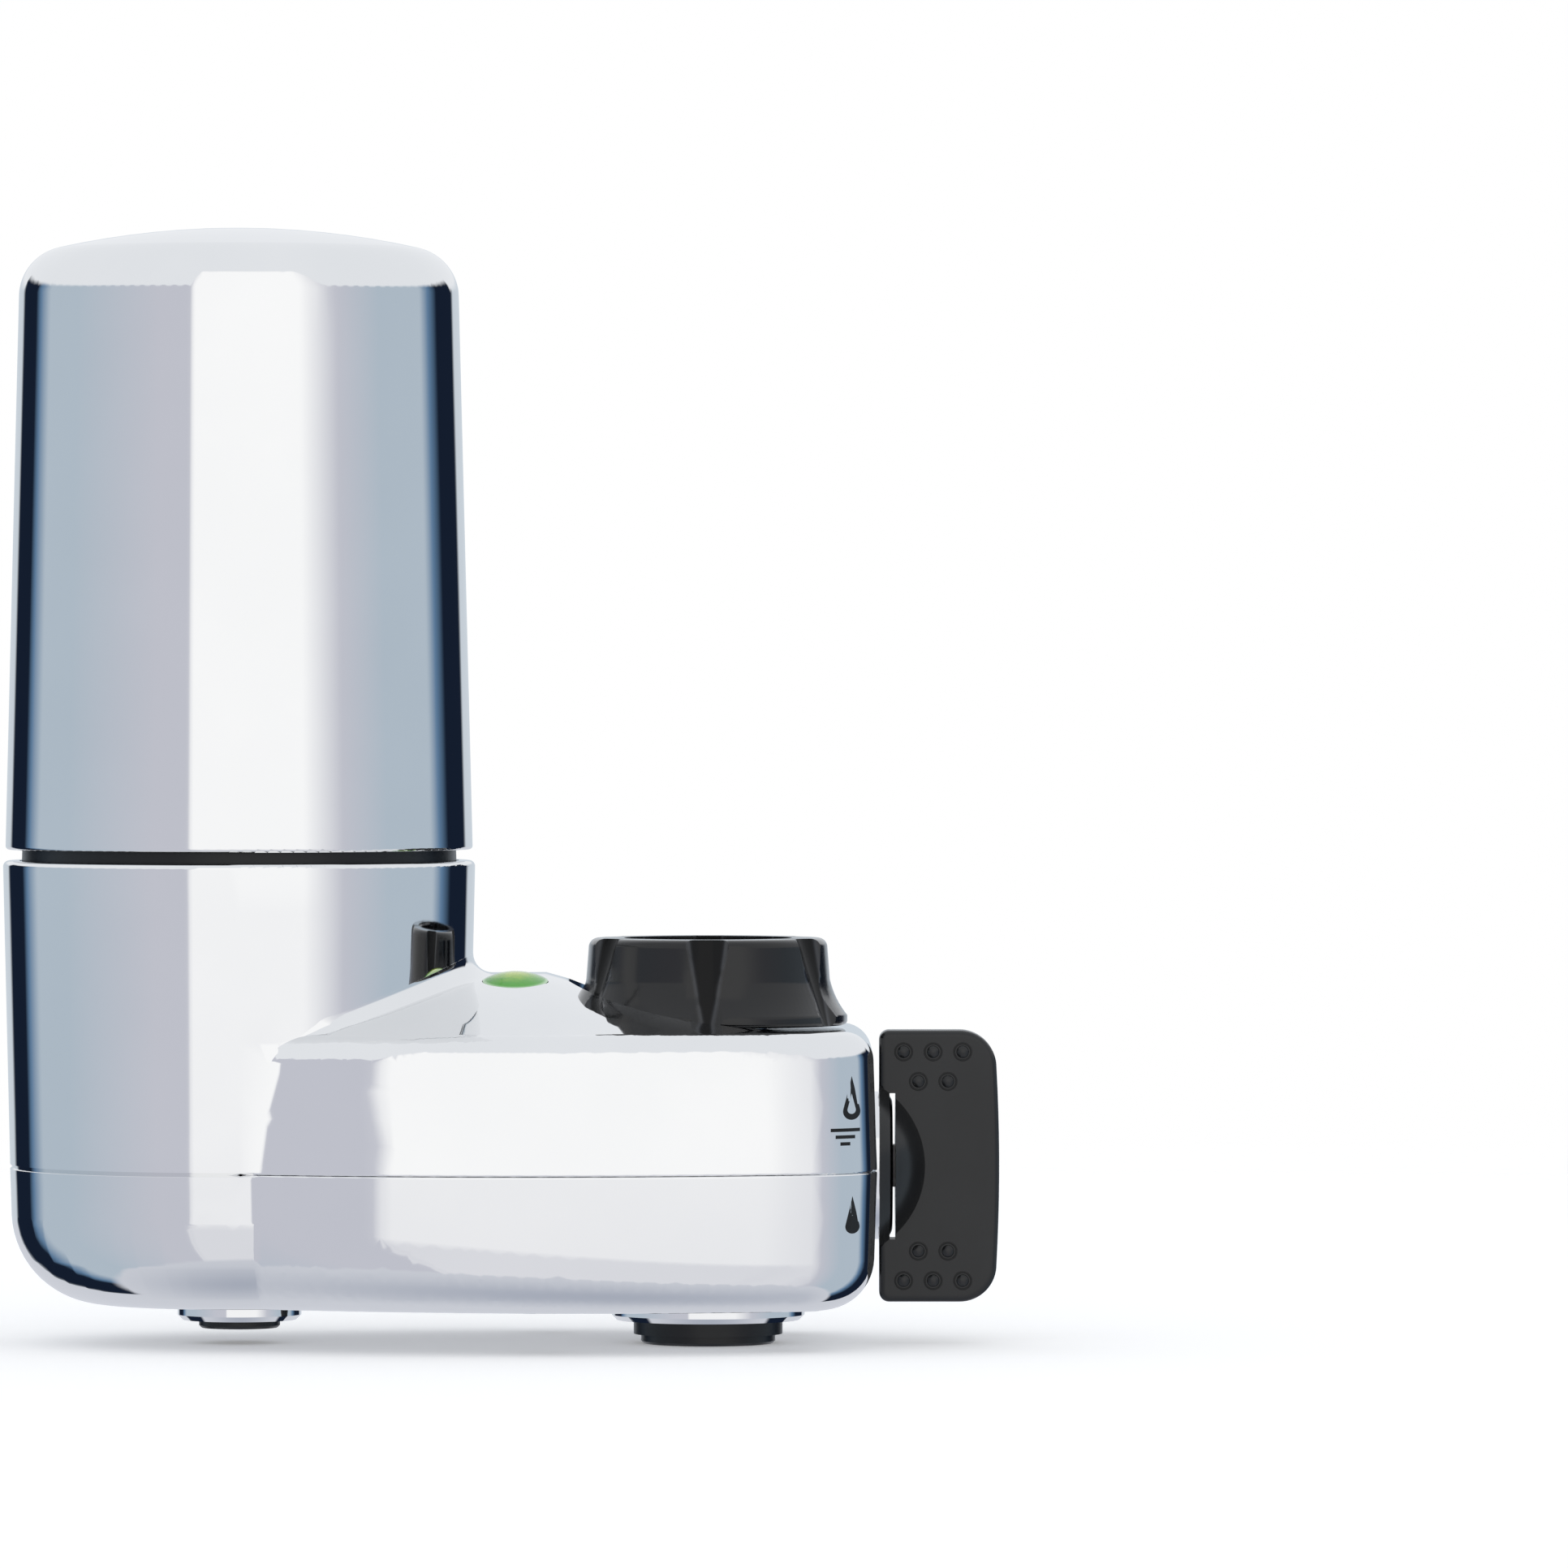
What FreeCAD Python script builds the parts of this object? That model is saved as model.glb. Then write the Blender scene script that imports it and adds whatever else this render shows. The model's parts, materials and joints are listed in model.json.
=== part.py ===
import FreeCAD, Part
import math
import os
import Sketcher

# Driving sizes in millimetres and degrees.
SIZES = {
    # Overall layout: the origin is the mouth of the nut, the filter stands towards -X.
    "axis_distance": 63.6,
    "seat_height": 18.8,
    "tray_depth": 18.6,
    "shell_wall": 2.2,
    # Plan of the arm at the seam.
    "half_depth": 37.0,
    "wall_radius": 110.0,
    "widest_at": 39.6,
    "corner_radius": 13.5,
    "end_reach": 22.8,
    "wall_draft": 1.86,
    "ledge_round": 4.0,
    "tray_round": 7.0,
    "bowl_round": 12.5,
    # Hill on the arm.
    "hill_slope": 26.3,
    "hill_fall_start": 22.0,
    "hill_margin": 5.0,
    "seam_bevel": 0.3,
    # Cup that holds the cartridge.
    "cup_radius": 32.0,
    "cup_height": 41.4,
    "cup_draft": 1.3,
    "cup_lip": 0.8,
    "shelf_width": 3.0,
    "deck_thickness": 3.0,
    "deck_gap": 0.5,
    # Mounting nut.
    "nut_height": 11.8,
    "nut_gap": 0.3,
    "nut_top_radius": 16.2,
    "nut_skirt_radius": 18.9,
    "nut_skirt": 1.3,
    "nut_waist": 5.6,
    "thread_radius": 11.4,
    "thread_depth": 5.2,
    "lip_thickness": 2.8,
    "flute_radius": 4.0,
    "flute_depth": 1.7,
    "flute_tilt": 20.0,
    "recess_gap": 0.6,
    # Inlet nipple, washer and screen.
    "nipple_radius": 8.2,
    "nipple_bore": 5.0,
    "nipple_length": 13.0,
    "flange_radius": 10.8,
    "flange_thickness": 1.8,
    "washer_radius": 11.1,
    "washer_bore": 7.0,
    "washer_thickness": 2.0,
    "screen_thickness": 0.6,
    "running_gap": 0.08,
    "fit_gap": 0.05,
    # Cartridge cover.
    "cover_radius": 31.65,
    "cover_height": 84.2,
    "cover_draft": 1.35,
    "cover_shoulder": 6.8,
    "crown_radius": 112.0,
    "cover_wall": 1.8,
    "cover_lip": 0.5,
    "neck_gap": 1.5,
    "neck_radius": 29.4,
    # Cartridge base and its spigots.
    "skirt_depth": 22.0,
    "skirt_gap": 0.35,
    "catch_radius": 24.5,
    "catch_height": 12.0,
    "base_wall": 2.0,
    "base_rim": 4.0,
    "spigot_length": 8.0,
    "spigot_radius": 4.5,
    "spigot_bore": 2.8,
    "inlet_offset": 15.0,
    "seal_section": 0.9,
    # Filter medium.
    "block_radius": 23.0,
    "block_height": 79.0,
    "core_radius": 7.0,
    "core_wall": 1.2,
    "wrap_thickness": 1.5,
    "cap_thickness": 2.5,
    "cap_rim": 4.0,
    # Cartridge socket.
    "well_wall": 1.8,
    "well_clear": 1.0,
    "stub_radius": 3.9,
    "stub_bore": 2.6,
    "stub_drop": 12.0,
    # Release ring and button.
    "ring_outer": 28.0,
    "ring_inner": 26.0,
    "ring_thickness": 2.4,
    "ring_height": 3.0,
    "press_travel": 1.2,
    "button_width": 13.0,
    "button_height": 7.0,
    "button_proud": 1.5,
    "tooth_width": 8.0,
    # Valve.
    "block_outer": 12.5,
    "block_drop": 13.0,
    "spool_radius": 6.0,
    "spool_reach": 9.0,
    "stem_radius": 4.0,
    "stem_flat": 5.6,
    "waterway": 3.0,
    "tube_radius": 4.4,
    "tube_drop": 6.5,
    "bonnet_thickness": 2.6,
    "bonnet_radius": 9.0,
    # Diverter lever.
    "lever_gap": 0.4,
    "lever_width": 16.8,
    "lever_height": 36.8,
    "lever_thickness": 6.4,
    "lever_edge": 0.9,
    "lever_corner": 5.0,
    "lever_bow": 60.0,
    "hub_radius": 13.0,
    "hub_reach": 6.6,
    "boss_radius": 10.0,
    "boss_proud": 2.2,
    "socket_depth": 5.0,
    "dot_radius": 0.85,
    "dot_height": 0.45,
    "dot_spacing": 4.0,
    # Outlets.
    "spray_flange_radius": 13.1,
    "outlet_flange_radius": 8.4,
    "flange_drop": 2.3,
    "flange_bevel": 0.7,
    "spray_radius": 10.1,
    "spray_drop": 1.9,
    "spray_face_radius": 9.1,
    "spray_face_drop": 1.3,
    "spray_bore": 7.0,
    "spray_hole": 0.5,
    "outlet_radius": 5.5,
    "outlet_drop": 1.1,
    "outlet_bore": 3.4,
    "plug_at": 30.8,
    "plug_radius": 4.2,
    "plug_drop": 1.3,
    # Indicator.
    "lens_at": 37.7,
    "lens_side": 11.5,
    "lens_tilt": 12.0,
    "lens_radius": 4.4,
    "lens_dome": 1.1,
    "lens_depth": 3.0,
    "board_length": 17.0,
    "board_width": 26.0,
    "board_thickness": 1.6,
    "board_drop": 1.2,
    "post_rise": 5.0,
    "cell_radius": 8.0,
    "cell_thickness": 3.2,
    # Fasteners.
    "screw_radius": 1.3,
    "screw_length": 16.0,
    "screw_head": 2.6,
    "screw_head_height": 2.0,
    "boss_wall": 1.7,
    "screw_clearance": 0.3,
    "screw_seat": 8.0,
    # Small inner pieces.
    "plate_thickness": 1.2,
    "pin_radius": 0.5,
    "spider_height": 1.2,
    "turbine_height": 3.5,
    "led_radius": 1.5,
}

FADING_STATIONS = 4
HILL_SINK = 0.15
HILL_DIVE = 0.5
HILL_FADE = 1.5
HILL_LEAST = 0.05
OVERCUT = 1.0
FLUTES = 6
SPRAY_RINGS = (16, (6, 0.35), (12, 0.7))
TURBINE_BLADES = 5
BOARD_POST = 1.5

document = FreeCAD.newDocument("faucet_filter")


class Size:
    """A number together with the expression that binds it to the sheet."""

    def __init__(self, value, text):
        self.value = value
        self.text = text

    def __add__(self, other):
        other = size(other)
        return Size(self.value + other.value, f"({self.text} + {other.text})")

    def __sub__(self, other):
        other = size(other)
        return Size(self.value - other.value, f"({self.text} - {other.text})")

    def __mul__(self, other):
        other = size(other)
        return Size(self.value * other.value, f"({self.text} * {other.text})")

    def __truediv__(self, other):
        other = size(other)
        return Size(self.value / other.value, f"({self.text} / {other.text})")

    def __neg__(self):
        return Size(-self.value, f"(-1 * {self.text})")

    def __radd__(self, other):
        return size(other) + self

    def __rsub__(self, other):
        return size(other) - self

    def __rmul__(self, other):
        return size(other) * self


def size(number):
    return number if isinstance(number, Size) else Size(float(number), repr(float(number)))


def root(square):
    return Size(math.sqrt(square.value), f"sqrt({square.text})")


def tangent(angle):
    return Size(math.tan(math.radians(angle.value)), f"tan({angle.text})")


def sine(angle):
    return Size(math.sin(math.radians(angle.value)), f"sin({angle.text})")


def cosine(angle):
    return Size(math.cos(math.radians(angle.value)), f"cos({angle.text})")


def write_sheet():
    sheet = document.addObject("Spreadsheet::Sheet", "sizes")
    named = {}
    for row, (alias, number) in enumerate(SIZES.items(), start=1):
        sheet.set(f"A{row}", str(number))
        sheet.setAlias(f"A{row}", alias)
        named[alias] = Size(number, f"sizes.{alias}")
    document.recompute()
    return type("Sheet", (), named)


s = write_sheet()


CUP_SLOPE = tangent(s.cup_draft)


def cup_inside(z):
    """Inner radius of the cup at a height above the seam."""
    return s.cup_radius - s.shell_wall - (s.cup_height - z) * CUP_SLOPE


# Places shared by several pieces, measured from the seam and from the filter's axis.
SEAM_Z = -(s.nut_height + s.nut_gap + s.seat_height)
END_X = s.axis_distance + s.end_reach
NECK_Z = s.cup_height + s.neck_gap
BASE_Z = NECK_Z - s.skirt_depth
DECK_Z = BASE_Z - s.deck_gap
SHELF_Z = DECK_Z - s.deck_thickness
RECESS_RADIUS = s.nut_skirt_radius + s.recess_gap
COVER_SLOPE = tangent(s.cover_draft)
FLANGE_Z = s.lip_thickness - s.nut_height + s.running_gap
FLANGE_SEAM = FLANGE_Z - SEAM_Z
LEVER_IN = s.end_reach + s.lever_gap
RING_Z = DECK_Z + s.ring_height
BUTTON_Z = RING_Z + s.ring_thickness / 2
BUTTON_FACE = cup_inside(BUTTON_Z) + s.shell_wall + s.button_proud
SHOULDER_X = s.block_outer - 5
SPOOL_SEALS = (2 - s.spool_reach, SHOULDER_X - 2)
TUBE_GRIP = 3.0
TUBE_START = s.inlet_offset + s.stub_radius + s.fit_gap
COLLAR_END = TUBE_START + TUBE_GRIP
TUBE_END = s.axis_distance - s.block_outer + TUBE_GRIP
TUBE_SEALS = (TUBE_START + TUBE_GRIP / 2, TUBE_END - TUBE_GRIP / 2)
NOZZLE_TOP = s.shell_wall - s.stub_drop
SPIDER_Z = s.outlet_drop - s.tray_depth
WELL_RADIUS = s.spigot_radius + s.running_gap
WELL_Z = BASE_Z - s.spigot_length - s.well_clear
SPIGOT_SEAL_Z = BASE_Z - s.spigot_length / 2
BOARD_TOP = s.seat_height - s.shell_wall - s.board_drop
BOARD_X = s.cup_radius + s.screw_clearance
CAP_Z = BASE_Z + s.catch_height + s.base_wall
BLOCK_Z = CAP_Z + s.cap_thickness
CAP_RADIUS = s.block_radius + s.wrap_thickness + s.core_wall
SCREW_PLACES = (
    (s.widest_at + 2, s.half_depth - 13),
    (s.widest_at + 2, 13 - s.half_depth),
    (END_X - 12, s.half_depth - 18),
    (END_X - 12, 18 - s.half_depth),
)
BOARD_POSTS = (
    (BOARD_X + 2.5, s.board_width / 2 - 2.5),
    (BOARD_X + s.board_length - 2.5, s.board_width / 2 - 2.5),
    (BOARD_X + s.board_length - 2.5, 2.5 - s.board_width / 2),
)
BUTTON_BACK = s.ring_outer + 1


def hill_arch(half, slope):
    """Half width, height and foot level of the roof's arch, which ends on the rounding of the ledge."""
    width = half - s.seat_height * tangent(s.wall_draft) - s.ledge_round * (1 - sine(slope))
    foot = s.seat_height - s.ledge_round * (1 - cosine(slope)) - HILL_SINK
    return width, width * tangent(slope / 2), foot


ARCH_WIDTH, ARCH_HEIGHT, ARCH_FOOT = hill_arch(s.half_depth, s.hill_slope)


def roof_level(y):
    """Height of the roof beside the cup, at a distance from its crest."""
    return ARCH_FOOT + ARCH_HEIGHT - y * y * sine(s.hill_slope) / (2 * ARCH_WIDTH)


LENS_Z = roof_level(s.lens_side)
ROOF_POST_TOP = roof_level(s.half_depth - 13 + s.screw_radius + s.boss_wall) - s.shell_wall / 4
END_POST_TOP = s.seat_height - s.shell_wall / 2


# Sketches and features.

class Arc:
    """A round stretch between two corners of an outline, turning left (1) or right (-1)."""

    def __init__(self, radius, turn=1):
        self.radius = size(radius)
        self.turn = turn


def find_plane(body, role):
    return next(item for item in body.Origin.OriginFeatures if item.Role == role)


def new_body(label):
    body = document.addObject("PartDesign::Body", label)
    body.Label = label
    return body


def new_sketch(body, name, role, lift=None):
    drawing = body.newObject("Sketcher::SketchObject", name)
    drawing.AttachmentSupport = [(find_plane(body, role), "")]
    drawing.MapMode = "FlatFace"
    if lift is not None:
        drawing.AttachmentOffset = FreeCAD.Placement(FreeCAD.Vector(0, 0, size(lift).value), FreeCAD.Rotation())
        drawing.setExpression("AttachmentOffset.Base.z", size(lift).text)
    return drawing


def fix_point(drawing, shape, corner, x, y):
    """Tie one point of the drawing to its place from the origin."""
    for kind, axis, distance in (("DistanceX", -2, size(x)), ("DistanceY", -1, size(y))):
        if distance.text in ("0.0", "-0.0"):
            drawing.addConstraint(Sketcher.Constraint("PointOnObject", shape, corner, axis))
        else:
            index = drawing.addConstraint(
                Sketcher.Constraint(kind, -1, 1, shape, corner, distance.value))
            drawing.setExpression(f"Constraints[{index}]", distance.text)


def fix_radius(drawing, shape, radius):
    index = drawing.addConstraint(Sketcher.Constraint("Radius", shape, radius.value))
    drawing.setExpression(f"Constraints[{index}]", radius.text)


def arc_between(start, end, arc):
    """The minor arc from start to end; its own start is the end point when it turns right."""
    half = (end - start) * 0.5
    rise = math.sqrt(max(arc.radius.value ** 2 - half.Length ** 2, 0.0))
    across = FreeCAD.Vector(-half.y, half.x, 0).normalize() * (rise * arc.turn)
    centre = start + half + across
    first, last = (start, end) if arc.turn > 0 else (end, start)
    angles = [math.atan2(point.y - centre.y, point.x - centre.x) for point in (first, last)]
    circle = Part.Circle(centre, FreeCAD.Vector(0, 0, 1), arc.radius.value)
    return Part.ArcOfCircle(circle, angles[0], angles[1])


def draw_outline(drawing, outline):
    """Draw corners given as (x, y) pairs, joined by lines or by the arcs written between them."""
    corners = [item for item in outline if not isinstance(item, Arc)]
    bends = {}
    for position, item in enumerate(outline):
        if isinstance(item, Arc):
            bends[sum(not isinstance(before, Arc) for before in outline[:position]) - 1] = item
    points = [FreeCAD.Vector(size(x).value, size(y).value, 0) for x, y in corners]
    count = len(points)
    ends = []
    for number, start in enumerate(points):
        end = points[(number + 1) % count]
        bend = bends.get(number)
        if bend is None:
            shape = drawing.addGeometry(Part.LineSegment(start, end), False)
        else:
            shape = drawing.addGeometry(arc_between(start, end, bend), False)
        ends.append((shape, 2, 1) if bend and bend.turn < 0 else (shape, 1, 2))
    for number, (x, y) in enumerate(corners):
        shape, first, _ = ends[number]
        before, _, last = ends[number - 1]
        drawing.addConstraint(Sketcher.Constraint("Coincident", before, last, shape, first))
        fix_point(drawing, shape, first, x, y)
        if number in bends:
            fix_radius(drawing, shape, bends[number].radius)
    return drawing


def draw_circles(drawing, places, radius):
    radius = size(radius)
    for x, y in places:
        centre = FreeCAD.Vector(size(x).value, size(y).value, 0)
        shape = drawing.addGeometry(Part.Circle(centre, FreeCAD.Vector(0, 0, 1), radius.value), False)
        fix_point(drawing, shape, 3, x, y)
        fix_radius(drawing, shape, radius)
    return drawing


def box_outline(x0, x1, y0, y1):
    return [(x0, y0), (x1, y0), (x1, y1), (x0, y1)]


def feature(body, kind, name, drawing, **settings):
    """Add a feature made from a sketch; settings that are sizes are bound to the sheet."""
    made = body.newObject(f"PartDesign::{kind}", name)
    made.Profile = drawing
    for setting, value in settings.items():
        if isinstance(value, Size):
            setattr(made, setting, value.value)
            made.setExpression(setting, value.text)
        else:
            setattr(made, setting, value)
    drawing.Visibility = False
    return made


def revolve(body, name, outline, axis="V_Axis", kind="Revolution"):
    drawing = draw_outline(new_sketch(body, name + "_profile", "XZ_Plane"), outline)
    return feature(body, kind, name, drawing, ReferenceAxis=(drawing, [axis]), Angle=360)


def pad(body, name, drawing, length, **settings):
    return feature(body, "Pad", name, drawing, Length=size(length), **settings)


def pocket(body, name, drawing, length, **settings):
    return feature(body, "Pocket", name, drawing, Length=size(length), **settings)


def round_edges(body, name, radius, wanted, kind="Fillet"):
    """Round or bevel the edges of the body's last feature that the test accepts."""
    document.recompute()
    base = body.Tip
    edges = [f"Edge{n}" for n, edge in enumerate(base.Shape.Edges, start=1) if wanted(edge)]
    made = body.newObject(f"PartDesign::{kind}", name)
    made.Base = (base, edges)
    setting = "Radius" if kind == "Fillet" else "Size"
    setattr(made, setting, size(radius).value)
    made.setExpression(setting, size(radius).text)
    return made


def level(edge, z):
    """Whether an edge lies at a height."""
    box = edge.BoundBox
    return abs(box.ZMin - z.value) < 1e-4 and abs(box.ZMax - z.value) < 1e-4


def upright(edge):
    box = edge.BoundBox
    return box.XLength < 1e-4 and box.YLength < 1e-4


def turned(label, outline, axis="V_Axis"):
    body = new_body(label)
    revolve(body, label + "_turn", outline, axis)
    return body


def drum(name, radius, height, x=0, y=0, z=0, along_x=False):
    """A plain cylinder, for a hole or a boss."""
    made = document.addObject("Part::Cylinder", name)
    turn = FreeCAD.Rotation(FreeCAD.Vector(0, 1, 0), 90 if along_x else 0)
    made.Placement = FreeCAD.Placement(FreeCAD.Vector(), turn)
    for setting, value in (("Radius", radius), ("Height", height)):
        made.setExpression(setting, size(value).text)
    bind_place(made, x, y, z)
    return made


def block(name, x, y, z, corner_x=0, corner_y=0, corner_z=0):
    made = document.addObject("Part::Box", name)
    for setting, value in (("Length", x), ("Width", y), ("Height", z)):
        made.setExpression(setting, size(value).text)
    bind_place(made, corner_x, corner_y, corner_z)
    return made


def bind_place(thing, x=0, y=0, z=0):
    for axis, value in zip("xyz", (x, y, z)):
        thing.setExpression(f"Placement.Base.{axis}", size(value).text)


def tilted(thing, angle):
    """Lean a piece towards the front, about its own origin."""
    base = thing.Placement.Base
    thing.Placement = FreeCAD.Placement(base, FreeCAD.Rotation(FreeCAD.Vector(1, 0, 0), angle.value))
    thing.setExpression("Placement.Rotation.Angle", angle.text)
    return thing


def fuse(label, pieces):
    made = document.addObject("Part::MultiFuse", label)
    made.Shapes = pieces
    made.Label = label
    return made


def group(label, pieces):
    made = document.addObject("Part::Compound", label)
    made.Links = pieces
    made.Label = label
    return made


def cut(label, base, tools):
    made = document.addObject("Part::Cut", label)
    made.Base = base
    made.Tool = tools[0] if len(tools) == 1 else fuse(label + "_tools", tools)
    made.Label = label
    return made


def ring_seal(name, radius, section, x=0, y=0, z=0, along_x=False):
    made = document.addObject("Part::Torus", name)
    turn = FreeCAD.Rotation(FreeCAD.Vector(0, 1, 0), 90 if along_x else 0)
    made.Placement = FreeCAD.Placement(FreeCAD.Vector(), turn)
    made.setExpression("Radius1", size(radius).text)
    made.setExpression("Radius2", size(section).text)
    bind_place(made, x, y, z)
    return made


finished = []


def finish(thing, x=0, z=SEAM_Z):
    """Put a finished piece in its place; x is counted from the nut's axis, z from its mouth."""
    bind_place(thing, x, 0, z)
    finished.append(thing)
    return thing


# Plan of the arm, from the filter's axis. The walls are arcs, tangent to the corner arcs.

def arm_plan(inset):
    wall = s.wall_radius - inset
    corner = s.corner_radius - inset
    arc_y = s.half_depth - s.wall_radius
    corner_x = END_X - s.corner_radius
    reach = s.wall_radius - s.corner_radius
    along = corner_x - s.widest_at
    corner_y = root(reach * reach - along * along) + arc_y
    touch_x = s.widest_at + along * wall / reach
    touch_y = arc_y + (corner_y - arc_y) * wall / reach
    start_y = root(wall * wall - s.widest_at * s.widest_at) + arc_y
    end_x = END_X - inset
    return [
        (0, -start_y), Arc(wall), (touch_x, -touch_y), Arc(corner), (end_x, -corner_y),
        (end_x, corner_y), Arc(corner), (touch_x, touch_y), Arc(wall), (0, start_y),
    ]


def arm_block(label, inset, height, down):
    """One half of the arm, from the seam, with drafted walls."""
    body = new_body(label)
    drawing = draw_outline(new_sketch(body, label + "_plan", "XY_Plane"), arm_plan(inset))
    pad(body, label + "_pad", drawing, height, TaperAngle=-s.wall_draft, Reversed=down)
    return body


def rounded_half(label, inset, height, down, end_radius, side_radius):
    """Half of the arm with its outer edge rounded; the sides run to another radius beside the cup."""
    block_body = arm_block(label + "_block", inset, height, down)
    document.recompute()
    far = -height if down else height
    rounded = document.addObject("Part::Fillet", label)
    rounded.Base = block_body
    edges = []
    for number, edge in enumerate(block_body.Shape.Edges, start=1):
        if level(edge, size(0)) and not inset:
            edges.append((number, s.seam_bevel.value, s.seam_bevel.value))
        if not level(edge, far) or edge.BoundBox.XMax < s.shell_wall.value:
            continue
        first, last = (end_radius - inset).value, (end_radius - inset).value
        if edge.BoundBox.XMin < s.shell_wall.value:
            start_at_cup = edge.Vertexes[0].X < edge.Vertexes[-1].X
            beside_cup = (side_radius - inset).value
            first, last = (beside_cup, last) if start_at_cup else (first, beside_cup)
        edges.append((number, first, last))
    rounded.Edges = edges
    return rounded


def hill_section(body, name, x, part, sink, shrink):
    """Shallow arch of the roof; part runs from 0 at full height to 1 where it has sunk into the ledge."""
    slope = s.hill_slope * (HILL_LEAST + (1 - HILL_LEAST) * (1 - part) ** HILL_FADE)
    offset = x - s.widest_at
    half = root(s.wall_radius * s.wall_radius - offset * offset) + s.half_depth - s.wall_radius
    width, height, foot = hill_arch(half, slope)
    width = width - shrink
    foot = foot - sink - HILL_DIVE * part * part
    arch = Arc((width * width + height * height) / (height * 2), -1)
    return draw_outline(new_sketch(body, name, "YZ_Plane", x), [
        (-width, foot - 1), (-width, foot), arch, (width, foot), (width, foot - 1),
    ])


def hill(label, sink, shrink):
    """The arched roof of the arm: level beside the cup, falling past the nut to the ledge."""
    body = new_body(label)
    start = s.axis_distance - s.hill_fall_start
    end = END_X - s.hill_margin
    level_part = [hill_section(body, f"{label}_level_{n}", start * n / 2, 0, sink, shrink) for n in range(3)]
    fading = [
        hill_section(body, f"{label}_fading_{n}", start + (end - start) * n / FADING_STATIONS,
                     n / FADING_STATIONS, sink, shrink)
        for n in range(FADING_STATIONS + 1)
    ]
    for name, sections in (("level", level_part), ("fading", fading)):
        loft = feature(body, "AdditiveLoft", f"{label}_{name}_loft", sections[0])
        loft.Sections = sections[1:]
    return body


# Outer shells, drawn from the filter's axis.

def bowl(label, inset, depth):
    """The round underside below the cup."""
    body = new_body(label)
    top = s.cup_radius - s.cup_height * CUP_SLOPE - inset
    low = top - depth * tangent(s.wall_draft)
    bevel = 0 if inset else s.seam_bevel
    revolve(body, label + "_turn", [(0, -depth), (low, -depth), (top, -bevel), (top - bevel, 0), (0, 0)]
            if bevel else [(0, -depth), (low, -depth), (top, 0), (0, 0)])
    round_edges(body, label + "_round", s.bowl_round - inset, lambda edge: level(edge, -depth))
    return body


def end_boss(label, down):
    """Half of the round boss that the lever turns against, from the end wall outwards."""
    body = new_body(label)
    far = -s.boss_radius if down else s.boss_radius
    side = 1 if down else -1
    outline = [
        (-s.boss_radius, 0), Arc(s.boss_radius, side), (0, far), Arc(s.boss_radius, side),
        (s.boss_radius, 0),
    ]
    drawing = draw_outline(new_sketch(body, label + "_half", "YZ_Plane", END_X - s.shell_wall), outline)
    pad(body, label + "_pad", drawing, s.shell_wall + s.boss_proud)
    round_edges(body, label + "_edge", s.boss_proud * 0.7,
                lambda edge: edge.BoundBox.XMin > END_X.value + 0.1 and edge.BoundBox.YLength < 1.5 * s.boss_radius.value)
    return body


def spool_hole(name):
    return drum(name, s.stem_radius + s.running_gap * 2, s.shell_wall + s.boss_proud + 2 * OVERCUT,
                END_X - s.shell_wall - OVERCUT, along_x=True)


def cup_outer():
    seam = s.cup_radius - s.cup_height * CUP_SLOPE
    below_lip = s.cup_radius - s.cup_lip * CUP_SLOPE
    return turned("cup_outer", [
        (0, 0), (seam - s.seam_bevel, 0), (seam, s.seam_bevel), (below_lip, s.cup_height - s.cup_lip), Arc(s.cup_lip),
        (s.cup_radius - s.cup_lip, s.cup_height), (0, s.cup_height),
    ])


def cup_bore():
    """The room in the cup, with the shelf that carries the cartridge socket."""
    below = SHELF_Z - s.deck_thickness
    shelf = cup_inside(SHELF_Z) - s.shelf_width
    return turned("cup_bore", [
        (0, -OVERCUT), (cup_inside(-OVERCUT), -OVERCUT), (cup_inside(below), below), (shelf, below),
        (shelf, SHELF_Z), (cup_inside(SHELF_Z), SHELF_Z),
        (cup_inside(s.cup_height + OVERCUT), s.cup_height + OVERCUT), (0, s.cup_height + OVERCUT),
    ])


def nut_recess():
    """Round seat of the nut, sunk into the roof down to the ledge."""
    return drum("nut_recess", RECESS_RADIUS, ARCH_HEIGHT + OVERCUT, s.axis_distance, 0, s.seat_height)


def button_hole():
    width = s.button_width + 2 * s.running_gap
    height = s.button_height + 2 * s.running_gap
    return block("button_hole", width, s.shell_wall * 3, height, -width / 2,
                 cup_inside(RING_Z) - s.shell_wall, BUTTON_Z - height / 2)


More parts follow.
